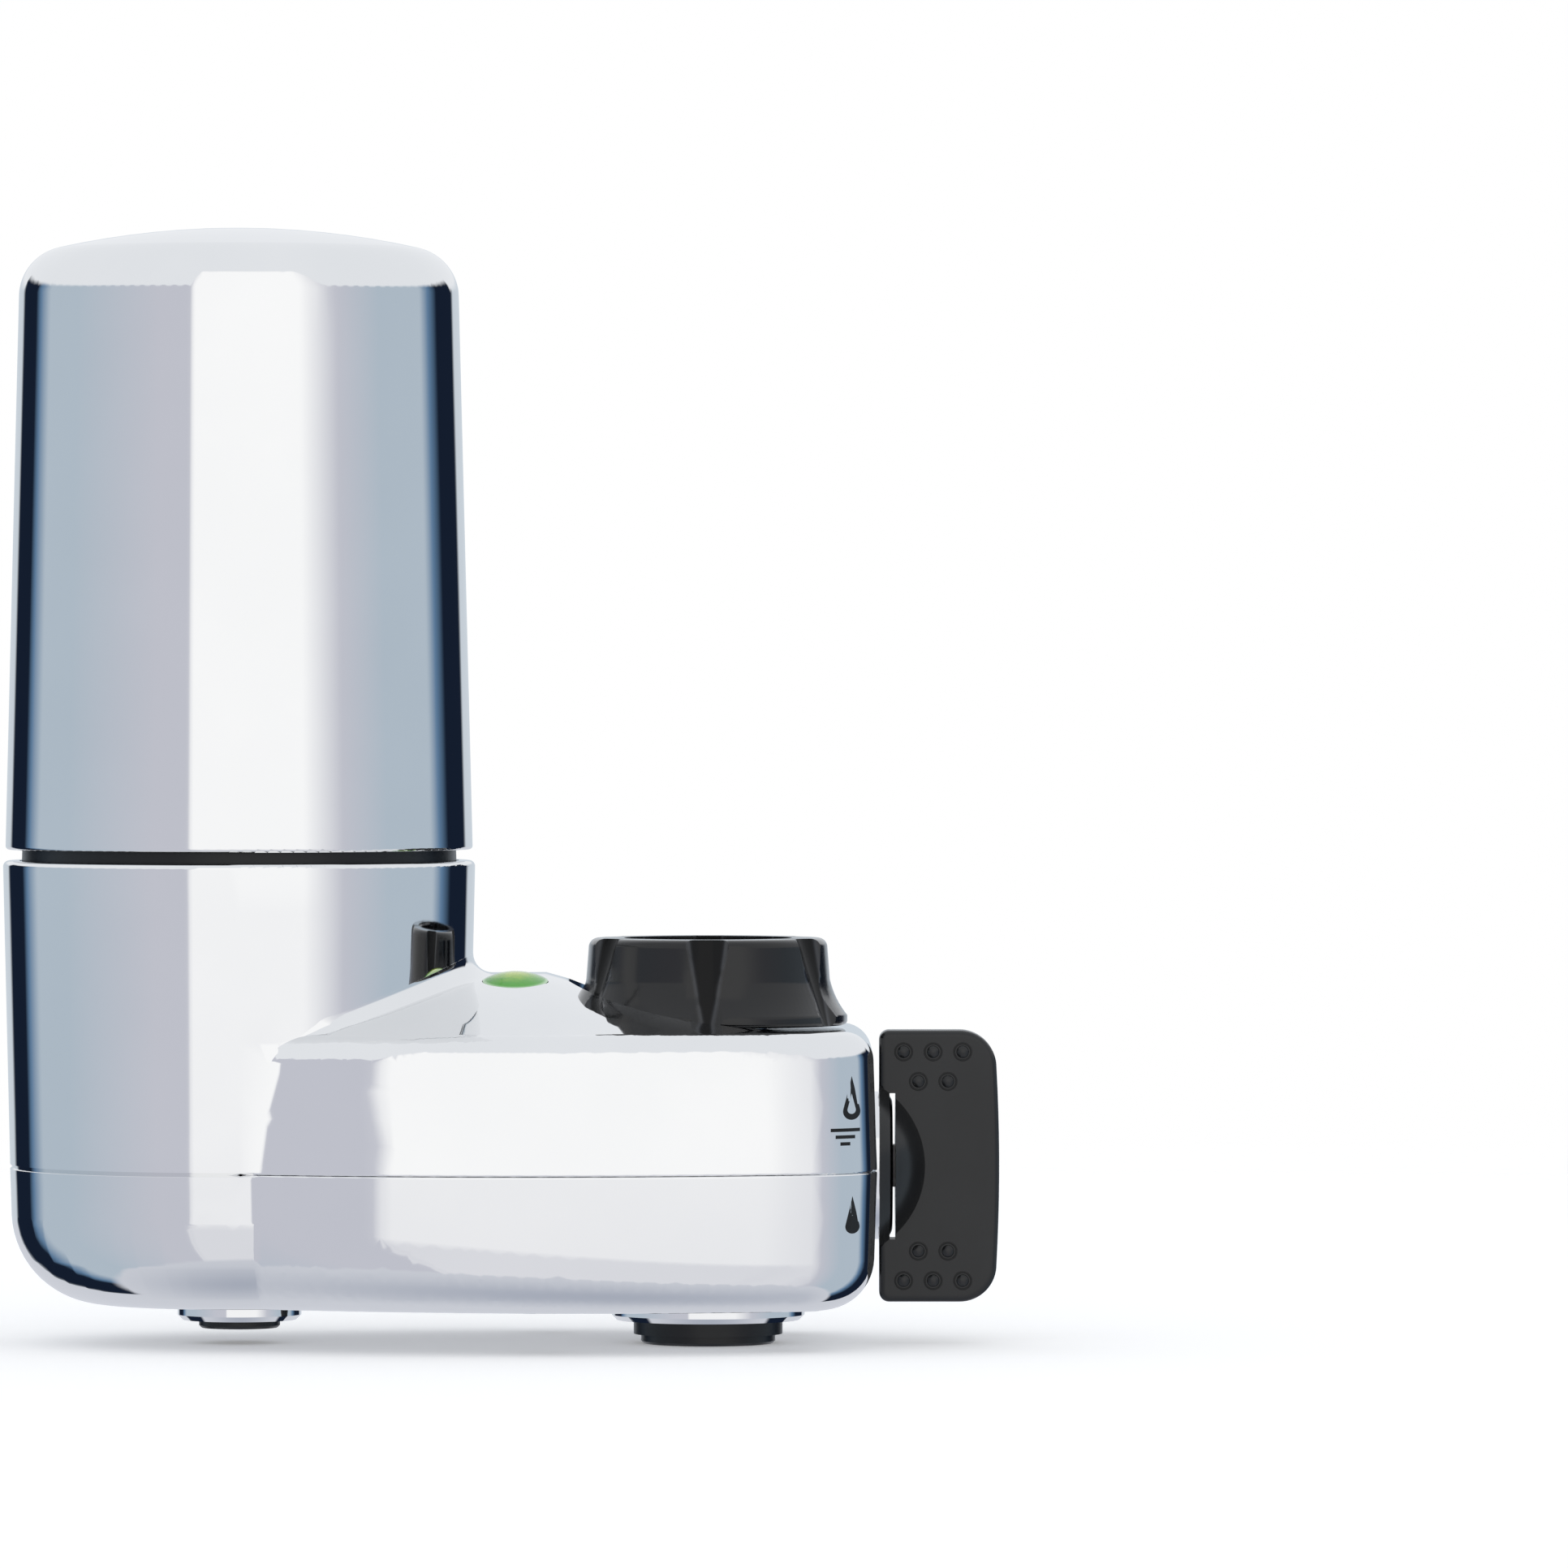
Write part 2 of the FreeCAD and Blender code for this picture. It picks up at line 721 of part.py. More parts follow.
def upper_shell():
    arm = fuse("arm_top", [rounded_half("arm", 0, s.seat_height, False, s.ledge_round, s.ledge_round), hill("hill", 0, 0)])
    arm_room = rounded_half("arm_room", s.shell_wall, s.seat_height - s.shell_wall, False, s.ledge_round, s.ledge_round)
    keep = drum("recess_wall", RECESS_RADIUS + s.shell_wall, 2 * s.seat_height, s.axis_distance)
    hill_room = cut("hill_room", hill("hill_inside", s.shell_wall, s.shell_wall), [keep])
    hollow = cut("arm_hollow", arm, [arm_room, hill_room])
    bosses = [
        drum(f"screw_post_{n}", s.screw_radius + s.boss_wall, ROOF_POST_TOP if n < 2 else END_POST_TOP, x, y)
        for n, (x, y) in enumerate(SCREW_PLACES)
    ]
    posts = [
        drum(f"board_post_{n}", BOARD_POST, s.seat_height - BOARD_TOP + s.post_rise, x, y, BOARD_TOP)
        for n, (x, y) in enumerate(BOARD_POSTS)
    ]
    whole = fuse("upper_whole", [hollow, cup_outer(), end_boss("end_boss_top", False)] + bosses + posts)
    holes = [cup_bore(), nut_recess(), button_hole(), spool_hole("spool_hole_top")]
    holes.append(drum("nipple_hole", s.nipple_radius + 2 * s.running_gap, 2 * s.shell_wall,
                      s.axis_distance, 0, s.seat_height - 1.5 * s.shell_wall))
    below = s.lens_depth + OVERCUT
    lens_hole = drum("lens_hole", s.lens_radius + s.running_gap, 2 * below, s.lens_at,
                     below * sine(s.lens_tilt) - s.lens_side, LENS_Z - below * cosine(s.lens_tilt))
    holes.append(tilted(lens_hole, s.lens_tilt))
    holes += [
        drum(f"screw_pilot_{n}", s.screw_radius + s.fit_gap, s.screw_length - s.screw_seat + OVERCUT, x, y)
        for n, (x, y) in enumerate(SCREW_PLACES)
    ]
    return cut("upper_shell", whole, holes)


def outlet_flange(name, radius, x):
    """Raised ring round an outlet, with a bevelled edge."""
    bottom = -(s.tray_depth + s.flange_drop)
    body = new_body(name)
    revolve(body, name + "_turn", [
        (0, bottom), (radius - s.flange_bevel, bottom), (radius, bottom + s.flange_bevel),
        (radius, s.shell_wall - s.tray_depth), (0, s.shell_wall - s.tray_depth),
    ])
    bind_place(body, x)
    return body


def lower_shell():
    arm = rounded_half("tray", 0, s.tray_depth, True, s.tray_round, s.bowl_round)
    arm_room = rounded_half("tray_room", s.shell_wall, s.tray_depth - s.shell_wall, True, s.tray_round, s.bowl_round)
    outer = fuse("tray_outer", [arm, bowl("bowl", 0, s.tray_depth)])
    hollow = cut("tray_hollow", outer, [arm_room, bowl("bowl_room", s.shell_wall, s.tray_depth - s.shell_wall)])
    head_room = s.screw_head + s.screw_clearance
    bosses = [
        drum(f"screw_well_{n}", head_room + s.boss_wall, s.tray_depth, x, y, -s.tray_depth)
        for n, (x, y) in enumerate(SCREW_PLACES)
    ]
    flanges = [
        outlet_flange("spray_flange", s.spray_flange_radius, s.axis_distance),
        outlet_flange("outlet_flange", s.outlet_flange_radius, 0),
    ]
    whole = fuse("lower_whole", [hollow, end_boss("end_boss_bottom", True)] + bosses + flanges)
    through = s.flange_drop + s.shell_wall + 2 * OVERCUT
    low = -(s.tray_depth + s.flange_drop + OVERCUT)
    holes = [
        drum("spray_hole", s.spray_radius + s.running_gap, through, s.axis_distance, 0, low),
        drum("outlet_hole", s.outlet_radius + s.running_gap, through, 0, 0, low),
        drum("plug_hole", s.plug_radius / 2 + s.fit_gap, through, s.plug_at, 0, low),
        spool_hole("spool_hole_bottom"),
    ]
    for n, (x, y) in enumerate(SCREW_PLACES):
        holes.append(drum(f"head_room_{n}", head_room, s.tray_depth - s.screw_seat + OVERCUT, x, y,
                          -s.tray_depth - OVERCUT))
        holes.append(drum(f"screw_way_{n}", s.screw_radius + s.screw_clearance, s.screw_seat + OVERCUT,
                          x, y, -s.screw_seat))
    return cut("lower_shell", whole, holes)


def shell_screws():
    """Four pan-head screws with cross recesses, driven from below."""
    screws = []
    for n, (x, y) in enumerate(SCREW_PLACES):
        body = new_body(f"shell_screw_{n}")
        head = s.screw_head_height
        revolve(body, f"screw_turn_{n}", [
            (0, -head), (s.screw_head - head / 3, -head), Arc(head / 3),
            (s.screw_head, -head * 2 / 3), (s.screw_head, 0), (s.screw_radius, 0),
            (s.screw_radius, s.screw_length - s.screw_radius), (0, s.screw_length),
        ])
        slot = s.screw_head / 2
        drawing = new_sketch(body, f"cross_{n}", "XY_Plane", -head)
        arm, blade = slot, slot / 4
        draw_outline(drawing, [
            (-blade, -arm), (blade, -arm), (blade, -blade), (arm, -blade), (arm, blade), (blade, blade),
            (blade, arm), (-blade, arm), (-blade, blade), (-arm, blade), (-arm, -blade), (-blade, -blade),
        ])
        pocket(body, f"recess_{n}", drawing, head / 2, Reversed=True)
        bind_place(body, x, y, -s.screw_seat)
        screws.append(body)
    return group("shell_screws", screws)


def bottom_plug():
    low = -(s.tray_depth + s.plug_drop)
    body = new_body("bottom_plug")
    revolve(body, "plug_turn", [
        (0, low), (s.plug_radius - s.plug_drop / 2, low), (s.plug_radius, low + s.plug_drop / 2),
        (s.plug_radius, -s.tray_depth), (s.plug_radius / 2, -s.tray_depth),
        (s.plug_radius / 2, s.shell_wall * 1.5 - s.tray_depth), (0, s.shell_wall * 1.5 - s.tray_depth),
    ])
    return body


# Mounting nut, drawn from the origin downwards.

def mounting_nut():
    body = new_body("mounting_nut")
    low = -s.nut_height
    lip_top = low + s.lip_thickness
    edge = s.nut_skirt / 2
    pocket_radius = s.washer_radius + s.running_gap
    revolve(body, "nut_turn", [
        (s.thread_radius, 0), (s.nut_top_radius - edge * 2, 0), Arc(edge * 2, -1),
        (s.nut_top_radius, -edge * 2), (s.nut_top_radius + edge / 2, -s.nut_waist), Arc(s.nut_height, 1),
        (s.nut_skirt_radius, low + s.nut_skirt), (s.nut_skirt_radius, low + edge), Arc(edge, -1),
        (s.nut_skirt_radius - edge, low), (s.nipple_radius + s.running_gap, low),
        (s.nipple_radius + s.running_gap, lip_top), (pocket_radius, lip_top),
        (pocket_radius, -s.thread_depth), (s.thread_radius, -s.thread_depth),
    ])
    centre = s.nut_top_radius - s.flute_depth + s.flute_radius
    raised = s.flute_radius
    drawing = new_sketch(body, "flute_circle", "XY_Plane")
    inward = raised * tangent(s.flute_tilt)
    drawing.AttachmentOffset = FreeCAD.Placement(
        FreeCAD.Vector(0, -(centre - inward).value, raised.value),
        FreeCAD.Rotation(FreeCAD.Vector(-1, 0, 0), s.flute_tilt.value))
    drawing.setExpression("AttachmentOffset.Base.y", (-(centre - inward)).text)
    drawing.setExpression("AttachmentOffset.Base.z", raised.text)
    drawing.setExpression("AttachmentOffset.Rotation.Angle", s.flute_tilt.text)
    draw_circles(drawing, [(0, 0)], s.flute_radius)
    flute = pocket(body, "flute", drawing, 2 * s.nut_height)
    flutes = body.newObject("PartDesign::PolarPattern", "flutes")
    flutes.Originals = [flute]
    flutes.Axis = (find_plane(body, "Z_Axis"), [""])
    flutes.Angle = 360
    flutes.Occurrences = FLUTES
    body.Tip = flutes
    return body


def inlet_nipple():
    """Flanged tube that the nut turns on and that clamps the arm to the valve block."""
    flange_low = FLANGE_Z
    bottom = flange_low - s.nipple_length
    return turned("inlet_nipple", [
        (s.nipple_bore, bottom), (s.nipple_radius, bottom), (s.nipple_radius, flange_low),
        (s.flange_radius, flange_low), (s.flange_radius, flange_low + s.flange_thickness),
        (s.nipple_bore, flange_low + s.flange_thickness),
    ])


def inlet_washer():
    low = FLANGE_Z + s.flange_thickness
    return turned("inlet_washer", [
        (s.washer_bore, low), (s.washer_radius, low), (s.washer_radius, low + s.washer_thickness),
        (s.washer_bore, low + s.washer_thickness),
    ])


def inlet_screen():
    """Domed disc of wire cloth that lies in the washer."""
    low = FLANGE_Z + s.flange_thickness
    edge = s.washer_bore - s.fit_gap
    rise = s.washer_thickness / 2
    bow = (edge * edge + rise * rise) / (rise * 2)
    return turned("inlet_screen", [
        (0, low + rise), Arc(bow, -1), (edge, low), (edge, low + s.screen_thickness),
        Arc(bow, 1), (0, low + rise + s.screen_thickness),
    ])


# Valve, drawn from the nut's axis at the height of the seam.

def valve_block():
    top = s.seat_height - s.shell_wall - s.nut_gap
    barrel = drum("valve_barrel", s.block_outer, top + s.block_drop, 0, 0, -s.block_drop)
    seat = FLANGE_SEAM - s.nipple_length - s.seal_section
    port_x = -s.block_outer - OVERCUT
    bores = [
        drum("nipple_socket", s.nipple_radius + s.fit_gap, top, 0, 0, seat),
        drum("inlet_way", s.nipple_bore, top, 0, 0, 0),
        drum("spray_way", s.nipple_bore, s.block_drop + OVERCUT, 0, 0, -s.block_drop - OVERCUT),
        drum("spool_bore", s.spool_radius + s.fit_gap, s.spool_reach + s.block_outer + OVERCUT,
             -s.spool_reach - s.running_gap, 0, 0, along_x=True),
        drum("tube_port", s.tube_radius + s.fit_gap, OVERCUT + TUBE_GRIP, port_x, 0, -s.tube_drop, along_x=True),
        drum("tube_way", s.waterway, s.block_outer, port_x, 0, -s.tube_drop, along_x=True),
    ]
    return cut("valve_block", barrel, bores)


def nipple_seal():
    low = FLANGE_SEAM - s.nipple_length - s.seal_section
    return turned("nipple_seal", [
        (s.nipple_bore, low), (s.nipple_radius, low), (s.nipple_radius, low + s.seal_section),
        (s.nipple_bore, low + s.seal_section),
    ])


def valve_spool():
    """Spool with a cross bore, two seal grooves and a square end for the lever."""
    body = new_body("valve_spool")
    outline = [(-s.spool_reach, 0), (-s.spool_reach, s.spool_radius)]
    floor = s.spool_radius - s.seal_section
    for place in SPOOL_SEALS:
        left = place - s.seal_section / 2
        right = place + s.seal_section / 2
        outline += [(left, s.spool_radius), (left, floor), (right, floor), (right, s.spool_radius)]
    outline += [(SHOULDER_X, s.spool_radius), (SHOULDER_X, s.stem_radius), (s.end_reach, s.stem_radius),
                (s.end_reach, 0)]
    revolve(body, "spool_turn", outline, "H_Axis")
    half = s.stem_flat / 2
    square = new_sketch(body, "stem_square", "YZ_Plane", s.end_reach)
    draw_outline(square, box_outline(-half, half, -half, half))
    pad(body, "stem_end", square, LEVER_IN + s.socket_depth - s.end_reach - s.running_gap)
    way = new_sketch(body, "spool_way", "XY_Plane")
    draw_circles(way, [(0, 0)], s.waterway)
    pocket(body, "spool_bore_cross", way, 3 * s.spool_radius, Midplane=True)
    return body


def spool_seals():
    radius = s.spool_radius - s.seal_section / 2
    return group("spool_seals", [
        ring_seal(f"spool_seal_{n}", radius, s.seal_section / 2, place, along_x=True)
        for n, place in enumerate(SPOOL_SEALS)
    ])


def valve_bonnet():
    """Plug that holds the spool in the block."""
    bore = s.stem_radius + s.running_gap
    start = SHOULDER_X + 3 * s.running_gap
    face = s.block_outer + s.running_gap
    return turned("valve_bonnet", [
        (start, bore), (start, s.spool_radius), (face, s.spool_radius), (face, s.bonnet_radius),
        (face + s.bonnet_thickness, s.bonnet_radius), (face + s.bonnet_thickness, bore),
    ], "H_Axis")


def inlet_tube():
    start = TUBE_START
    end = TUBE_END
    floor = s.tube_radius - s.seal_section
    outline = [(start, s.waterway), (start, s.tube_radius)]
    for place in TUBE_SEALS:
        left = place - s.seal_section / 2
        right = place + s.seal_section / 2
        outline += [(left, s.tube_radius), (left, floor), (right, floor), (right, s.tube_radius)]
    outline += [(end, s.tube_radius), (end, s.waterway)]
    return turned("inlet_tube", outline, "H_Axis")


def inlet_tube_seals():
    return group("inlet_tube_seals", [
        ring_seal(f"tube_seal_{n}", s.tube_radius - s.seal_section / 2, s.seal_section / 2, place, along_x=True)
        for n, place in enumerate(TUBE_SEALS)
    ])


# Outlets.

def spray_head():
    low = -(s.tray_depth + s.flange_drop + s.spray_drop)
    face = low - s.spray_face_drop
    body = new_body("spray_head")
    revolve(body, "spray_turn", [
        (s.spray_bore, face), (s.spray_face_radius - s.flange_bevel / 2, face),
        (s.spray_face_radius, face + s.flange_bevel / 2), (s.spray_face_radius, low),
        (s.spray_radius, low), (s.spray_radius, -s.block_drop), (s.nipple_bore, -s.block_drop),
        (s.nipple_bore, -s.block_drop - s.shell_wall), (s.spray_bore, -s.block_drop - s.shell_wall),
    ])
    count = SPRAY_RINGS[0]
    radius = (s.spray_bore + s.spray_face_radius) / 2
    drawing = new_sketch(body, "spray_holes", "XY_Plane", face)
    draw_circles(drawing, around(count, radius), s.spray_hole)
    pocket(body, "spray_hole_ring", drawing, s.spray_drop, Reversed=True)
    return body


def around(count, radius):
    """Places evenly spaced on a circle."""
    places = []
    for number in range(count):
        angle = size(360.0 * number / count)
        places.append((radius * cosine(angle), radius * sine(angle)))
    return places


def spray_plate():
    """Perforated disc at the mouth of the spray head."""
    face = -(s.tray_depth + s.flange_drop + s.spray_drop + s.spray_face_drop)
    body = new_body("spray_plate")
    low = face + s.flange_bevel
    disc = new_sketch(body, "plate_disc", "XY_Plane", low)
    draw_circles(disc, [(0, 0)], s.spray_bore - s.fit_gap)
    pad(body, "plate_pad", disc, s.plate_thickness)
    drawing = new_sketch(body, "plate_holes", "XY_Plane", low)
    places = [(0, 0)]
    for count, share in SPRAY_RINGS[1:]:
        places += around(count, s.spray_bore * share)
    draw_circles(drawing, places, s.spray_hole)
    pocket(body, "plate_hole_rings", drawing, 2 * s.plate_thickness, Reversed=True)
    return body


def flow_straightener():
    """Bundle of channels above the spray plate."""
    body = new_body("flow_straightener")
    face = -(s.tray_depth + s.flange_drop + s.spray_drop + s.spray_face_drop)
    low = face + s.flange_bevel + s.plate_thickness
    disc = new_sketch(body, "straightener_disc", "XY_Plane", low)
    draw_circles(disc, [(0, 0)], s.spray_bore - s.fit_gap)
    pad(body, "straightener_pad", disc, 3 * s.plate_thickness)
    drawing = new_sketch(body, "channels", "XY_Plane", low)
    draw_circles(drawing, [(0, 0)] + around(6, s.spray_bore * 0.58), s.spray_bore * 0.24)
    pocket(body, "channel_bores", drawing, 6 * s.plate_thickness, Reversed=True)
    return body


def filtered_outlet():
    """Nozzle under the cup; its collar rests on the floor of the bowl."""
    low = -(s.tray_depth + s.flange_drop + s.outlet_drop)
    floor = s.shell_wall - s.tray_depth
    collar = s.outlet_flange_radius - s.flange_bevel
    inside = s.stub_radius + s.fit_gap
    return turned("filtered_outlet", [
        (s.outlet_bore, low), (s.outlet_radius - s.flange_bevel / 2, low),
        (s.outlet_radius, low + s.flange_bevel / 2), (s.outlet_radius, floor), (collar, floor),
        (collar, floor + s.shell_wall / 2), (s.outlet_radius, floor + s.shell_wall / 2),
        (s.outlet_radius, NOZZLE_TOP), (inside, NOZZLE_TOP), (inside, -s.stub_drop - s.seal_section),
        (s.outlet_bore, -s.stub_drop - s.seal_section),
    ])


def outlet_seal():
    top = -s.stub_drop
    return turned("outlet_seal", [
        (s.outlet_bore, top - s.seal_section), (s.stub_radius, top - s.seal_section), (s.stub_radius, top),
        (s.outlet_bore, top),
    ])


def turbine_carrier():
    """Spider in the nozzle's bore with the pin that the turbine turns on."""
    rim = s.outlet_bore - s.fit_gap
    ring = turned("carrier_ring", [
        (rim - s.pin_radius, SPIDER_Z), (rim, SPIDER_Z), (rim, SPIDER_Z + s.spider_height),
        (rim - s.pin_radius, SPIDER_Z + s.spider_height),
    ])
    pin = drum("carrier_pin", s.pin_radius, s.spider_height + s.turbine_height + 2 * s.pin_radius, 0, 0, SPIDER_Z)
    arms = [
        block("carrier_arm_x", 2 * rim - s.pin_radius, s.pin_radius, s.spider_height,
              -rim + s.pin_radius / 2, -s.pin_radius / 2, SPIDER_Z),
        block("carrier_arm_y", s.pin_radius, 2 * rim - s.pin_radius, s.spider_height,
              -s.pin_radius / 2, -rim + s.pin_radius / 2, SPIDER_Z),
    ]
    return fuse("turbine_carrier", [ring, pin] + arms)


def flow_turbine():
    """Small rotor with radial blades on a hub."""
    body = new_body("flow_turbine")
    low = SPIDER_Z + s.spider_height + s.running_gap
    hub = 2 * s.pin_radius
    tip = s.outlet_bore - 3 * s.running_gap
    disc = new_sketch(body, "turbine_hub", "XY_Plane", low)
    draw_circles(disc, [(0, 0)], hub)
    pad(body, "hub_pad", disc, s.turbine_height)
    blade = s.pin_radius / 2
    drawing = new_sketch(body, "blade_plan", "XY_Plane", low)
    draw_outline(drawing, box_outline(hub / 2, tip, -blade, blade))
    first = pad(body, "blade", drawing, s.turbine_height)
    blades = body.newObject("PartDesign::PolarPattern", "blades")
    blades.Originals = [first]
    blades.Axis = (find_plane(body, "Z_Axis"), [""])
    blades.Angle = 360
    blades.Occurrences = TURBINE_BLADES
    body.Tip = blades
    document.recompute()
    hole = new_sketch(body, "pin_hole", "XY_Plane", low)
    draw_circles(hole, [(0, 0)], s.pin_radius + s.running_gap)
    pocket(body, "pin_bore", hole, 2 * s.turbine_height, Reversed=True)
    return body


# Cartridge socket, release ring and indicator, drawn from the filter's axis.

def cartridge_socket():
    """Deck on the cup's shelf with one well for each spigot and the ways below them."""
    deck = drum("deck", cup_inside(SHELF_Z) - s.running_gap, s.deck_thickness, 0, 0, SHELF_Z)
    outer = WELL_RADIUS + s.well_wall
    solids = [deck]
    ways = []
    for name, x, drop in (("outlet", 0, s.stub_drop), ("inlet", s.inlet_offset, s.tube_drop + s.tube_radius)):
        solids.append(drum(f"{name}_well", outer, DECK_Z - WELL_Z + s.well_wall, x, 0, WELL_Z - s.well_wall))
        solids.append(drum(f"{name}_stub", s.stub_radius, WELL_Z + drop, x, 0, -drop))
        ways.append(drum(f"{name}_well_bore", WELL_RADIUS, DECK_Z - WELL_Z + OVERCUT, x, 0, WELL_Z))
    solids.append(drum("tube_collar", s.tube_radius + s.well_wall, COLLAR_END - s.inlet_offset,
                       s.inlet_offset, 0, -s.tube_drop, along_x=True))
    ways.append(drum("outlet_stub_bore", s.stub_bore, WELL_Z + s.stub_drop + OVERCUT, 0, 0, -s.stub_drop - OVERCUT))
    ways.append(drum("inlet_stub_bore", s.stub_bore, WELL_Z + s.tube_drop + OVERCUT, s.inlet_offset, 0, -s.tube_drop))
    ways.append(drum("tube_seat", s.tube_radius + s.fit_gap, COLLAR_END - TUBE_START + OVERCUT,
                     TUBE_START, 0, -s.tube_drop, along_x=True))
    ways.append(drum("tube_entry", s.stub_bore, TUBE_START - s.inlet_offset + OVERCUT,
                     s.inlet_offset, 0, -s.tube_drop, along_x=True))
    return cut("cartridge_socket", fuse("socket_whole", solids), ways)


def latch_ring():
    """Ring round the cartridge, with the tooth in front and the lug behind that the button sits on."""
    ring = new_body("ring_body")
    drawing = new_sketch(ring, "ring_plan", "XY_Plane", RING_Z)
    draw_circles(drawing, [(0, 0)], s.ring_outer)
    draw_circles(drawing, [(0, 0)], s.ring_inner)
    pad(ring, "ring_pad", drawing, s.ring_thickness)
    middle = (s.ring_outer + s.ring_inner) / 2
    tooth_y = s.catch_radius + s.running_gap * 2
    half = s.tooth_width / 2
    tooth = block("ring_tooth", s.tooth_width, middle - tooth_y, s.ring_thickness, -half, -middle, RING_Z)
    lug = block("ring_lug", s.tooth_width, BUTTON_BACK - s.fit_gap - middle, s.ring_thickness, -half, middle, RING_Z)
    return fuse("latch_ring", [ring, tooth, lug])


def release_button():
    """Push button that stands through the back of the cup."""
    head = new_body("release_button")
    plan = new_sketch(head, "button_face", "XZ_Plane", -(BUTTON_FACE))
    half_width = s.button_width / 2
    half_height = s.button_height / 2
    draw_outline(plan, box_outline(-half_width, half_width, BUTTON_Z - half_height, BUTTON_Z + half_height))
    pad(head, "button_pad", plan, BUTTON_FACE - BUTTON_BACK)
    round_edges(head, "button_corners", half_height / 3, lambda edge: edge.BoundBox.XLength < 1e-4
                and edge.BoundBox.ZLength < 1e-4)
    face = BUTTON_FACE
    round_edges(head, "button_edge", s.cup_lip / 2, lambda edge: edge.BoundBox.YMin > face.value - 1e-3)
    return head


def latch_spring():
    """Flat strip spring between the ring and the front of the cup."""
    body = new_body("latch_spring")
    inner = s.ring_outer + 3 * s.running_gap
    outer = inner + 3 * s.running_gap
    turn = size(35.0)
    drawing = new_sketch(body, "spring_plan", "XY_Plane", RING_Z)
    draw_outline(drawing, [
        (-outer * sine(turn), -outer * cosine(turn)), Arc(outer, 1),
        (outer * sine(turn), -outer * cosine(turn)), (inner * sine(turn), -inner * cosine(turn)),
        Arc(inner, -1), (-inner * sine(turn), -inner * cosine(turn)),
    ])
    pad(body, "spring_pad", drawing, s.ring_thickness)
    return body


def indicator_lens():
    """Green window with a domed face, leaning with the roof."""
    bow = (s.lens_radius * s.lens_radius + s.lens_dome * s.lens_dome) / (2 * s.lens_dome)
    body = turned("indicator_lens", [
        (0, -s.lens_depth), (s.lens_radius, -s.lens_depth), (s.lens_radius, 0), Arc(bow), (0, s.lens_dome),
    ])
    return tilted(body, s.lens_tilt)


def indicator_led():
    body = turned("indicator_led", [
        (0, BOARD_TOP), (s.led_radius, BOARD_TOP), (s.led_radius, BOARD_TOP + s.led_radius),
        Arc(s.led_radius), (0, BOARD_TOP + 2 * s.led_radius),
    ])
    return body


def circuit_board():
    body = new_body("circuit_board")
    half = s.board_width / 2
    drawing = new_sketch(body, "board_plan", "XY_Plane", BOARD_TOP - s.board_thickness)
    draw_outline(drawing, box_outline(BOARD_X, BOARD_X + s.board_length, -half, half))
    pad(body, "board_pad", drawing, s.board_thickness)
    round_edges(body, "board_corners", s.board_thickness, upright)
    return body


def coin_cell():
    low = BOARD_TOP - s.board_thickness - s.cell_thickness
    step = s.cell_thickness / 4
    return turned("coin_cell", [
        (0, low), (s.cell_radius - 2 * step, low), (s.cell_radius - 2 * step, low + step),
        (s.cell_radius, low + step), (s.cell_radius, low + s.cell_thickness), (0, low + s.cell_thickness),
    ])


def cell_holder():
    """Open ring with a bottom rim that keeps the coin cell against the board."""
    low = BOARD_TOP - s.board_thickness - s.cell_thickness
    inner = s.cell_radius + s.running_gap
    outer = inner + s.core_wall
    return turned("cell_holder", [
        (inner - s.core_wall, low - s.core_wall), (outer, low - s.core_wall),
        (outer, low + s.cell_thickness), (inner, low + s.cell_thickness), (inner, low - s.running_gap),
        (inner - s.core_wall, low - s.running_gap),
    ])


# Cartridge, drawn from the filter's axis.

def cover_form(label, inset, lip):
    """Tapered wall, round shoulder and shallow crown, drawn in by inset."""
    body = new_body(label)
    top = NECK_Z + s.cover_height - inset
    side = s.cover_radius - inset
    rim = side - s.cover_height * COVER_SLOPE
    crown = s.crown_radius - inset
    drop = crown - root(crown * crown - rim * rim)
    low = NECK_Z if lip else NECK_Z - OVERCUT
    outline = [(0, low), (side - lip, low)]
    if lip:
        outline += [Arc(lip), (side, low + lip)]
    revolve(body, label + "_turn", outline + [(rim, top - drop), Arc(crown), (0, top)])
    round_edges(body, label + "_shoulder", s.cover_shoulder - inset, lambda edge: level(edge, top - drop))
    return body


def cartridge_cover():
    """Deep-drawn cover, open at the bottom."""
    return cut("cartridge_cover", cover_form("cover_outside", 0, s.cover_lip),
               [cover_form("cover_inside", s.cover_wall, 0)])


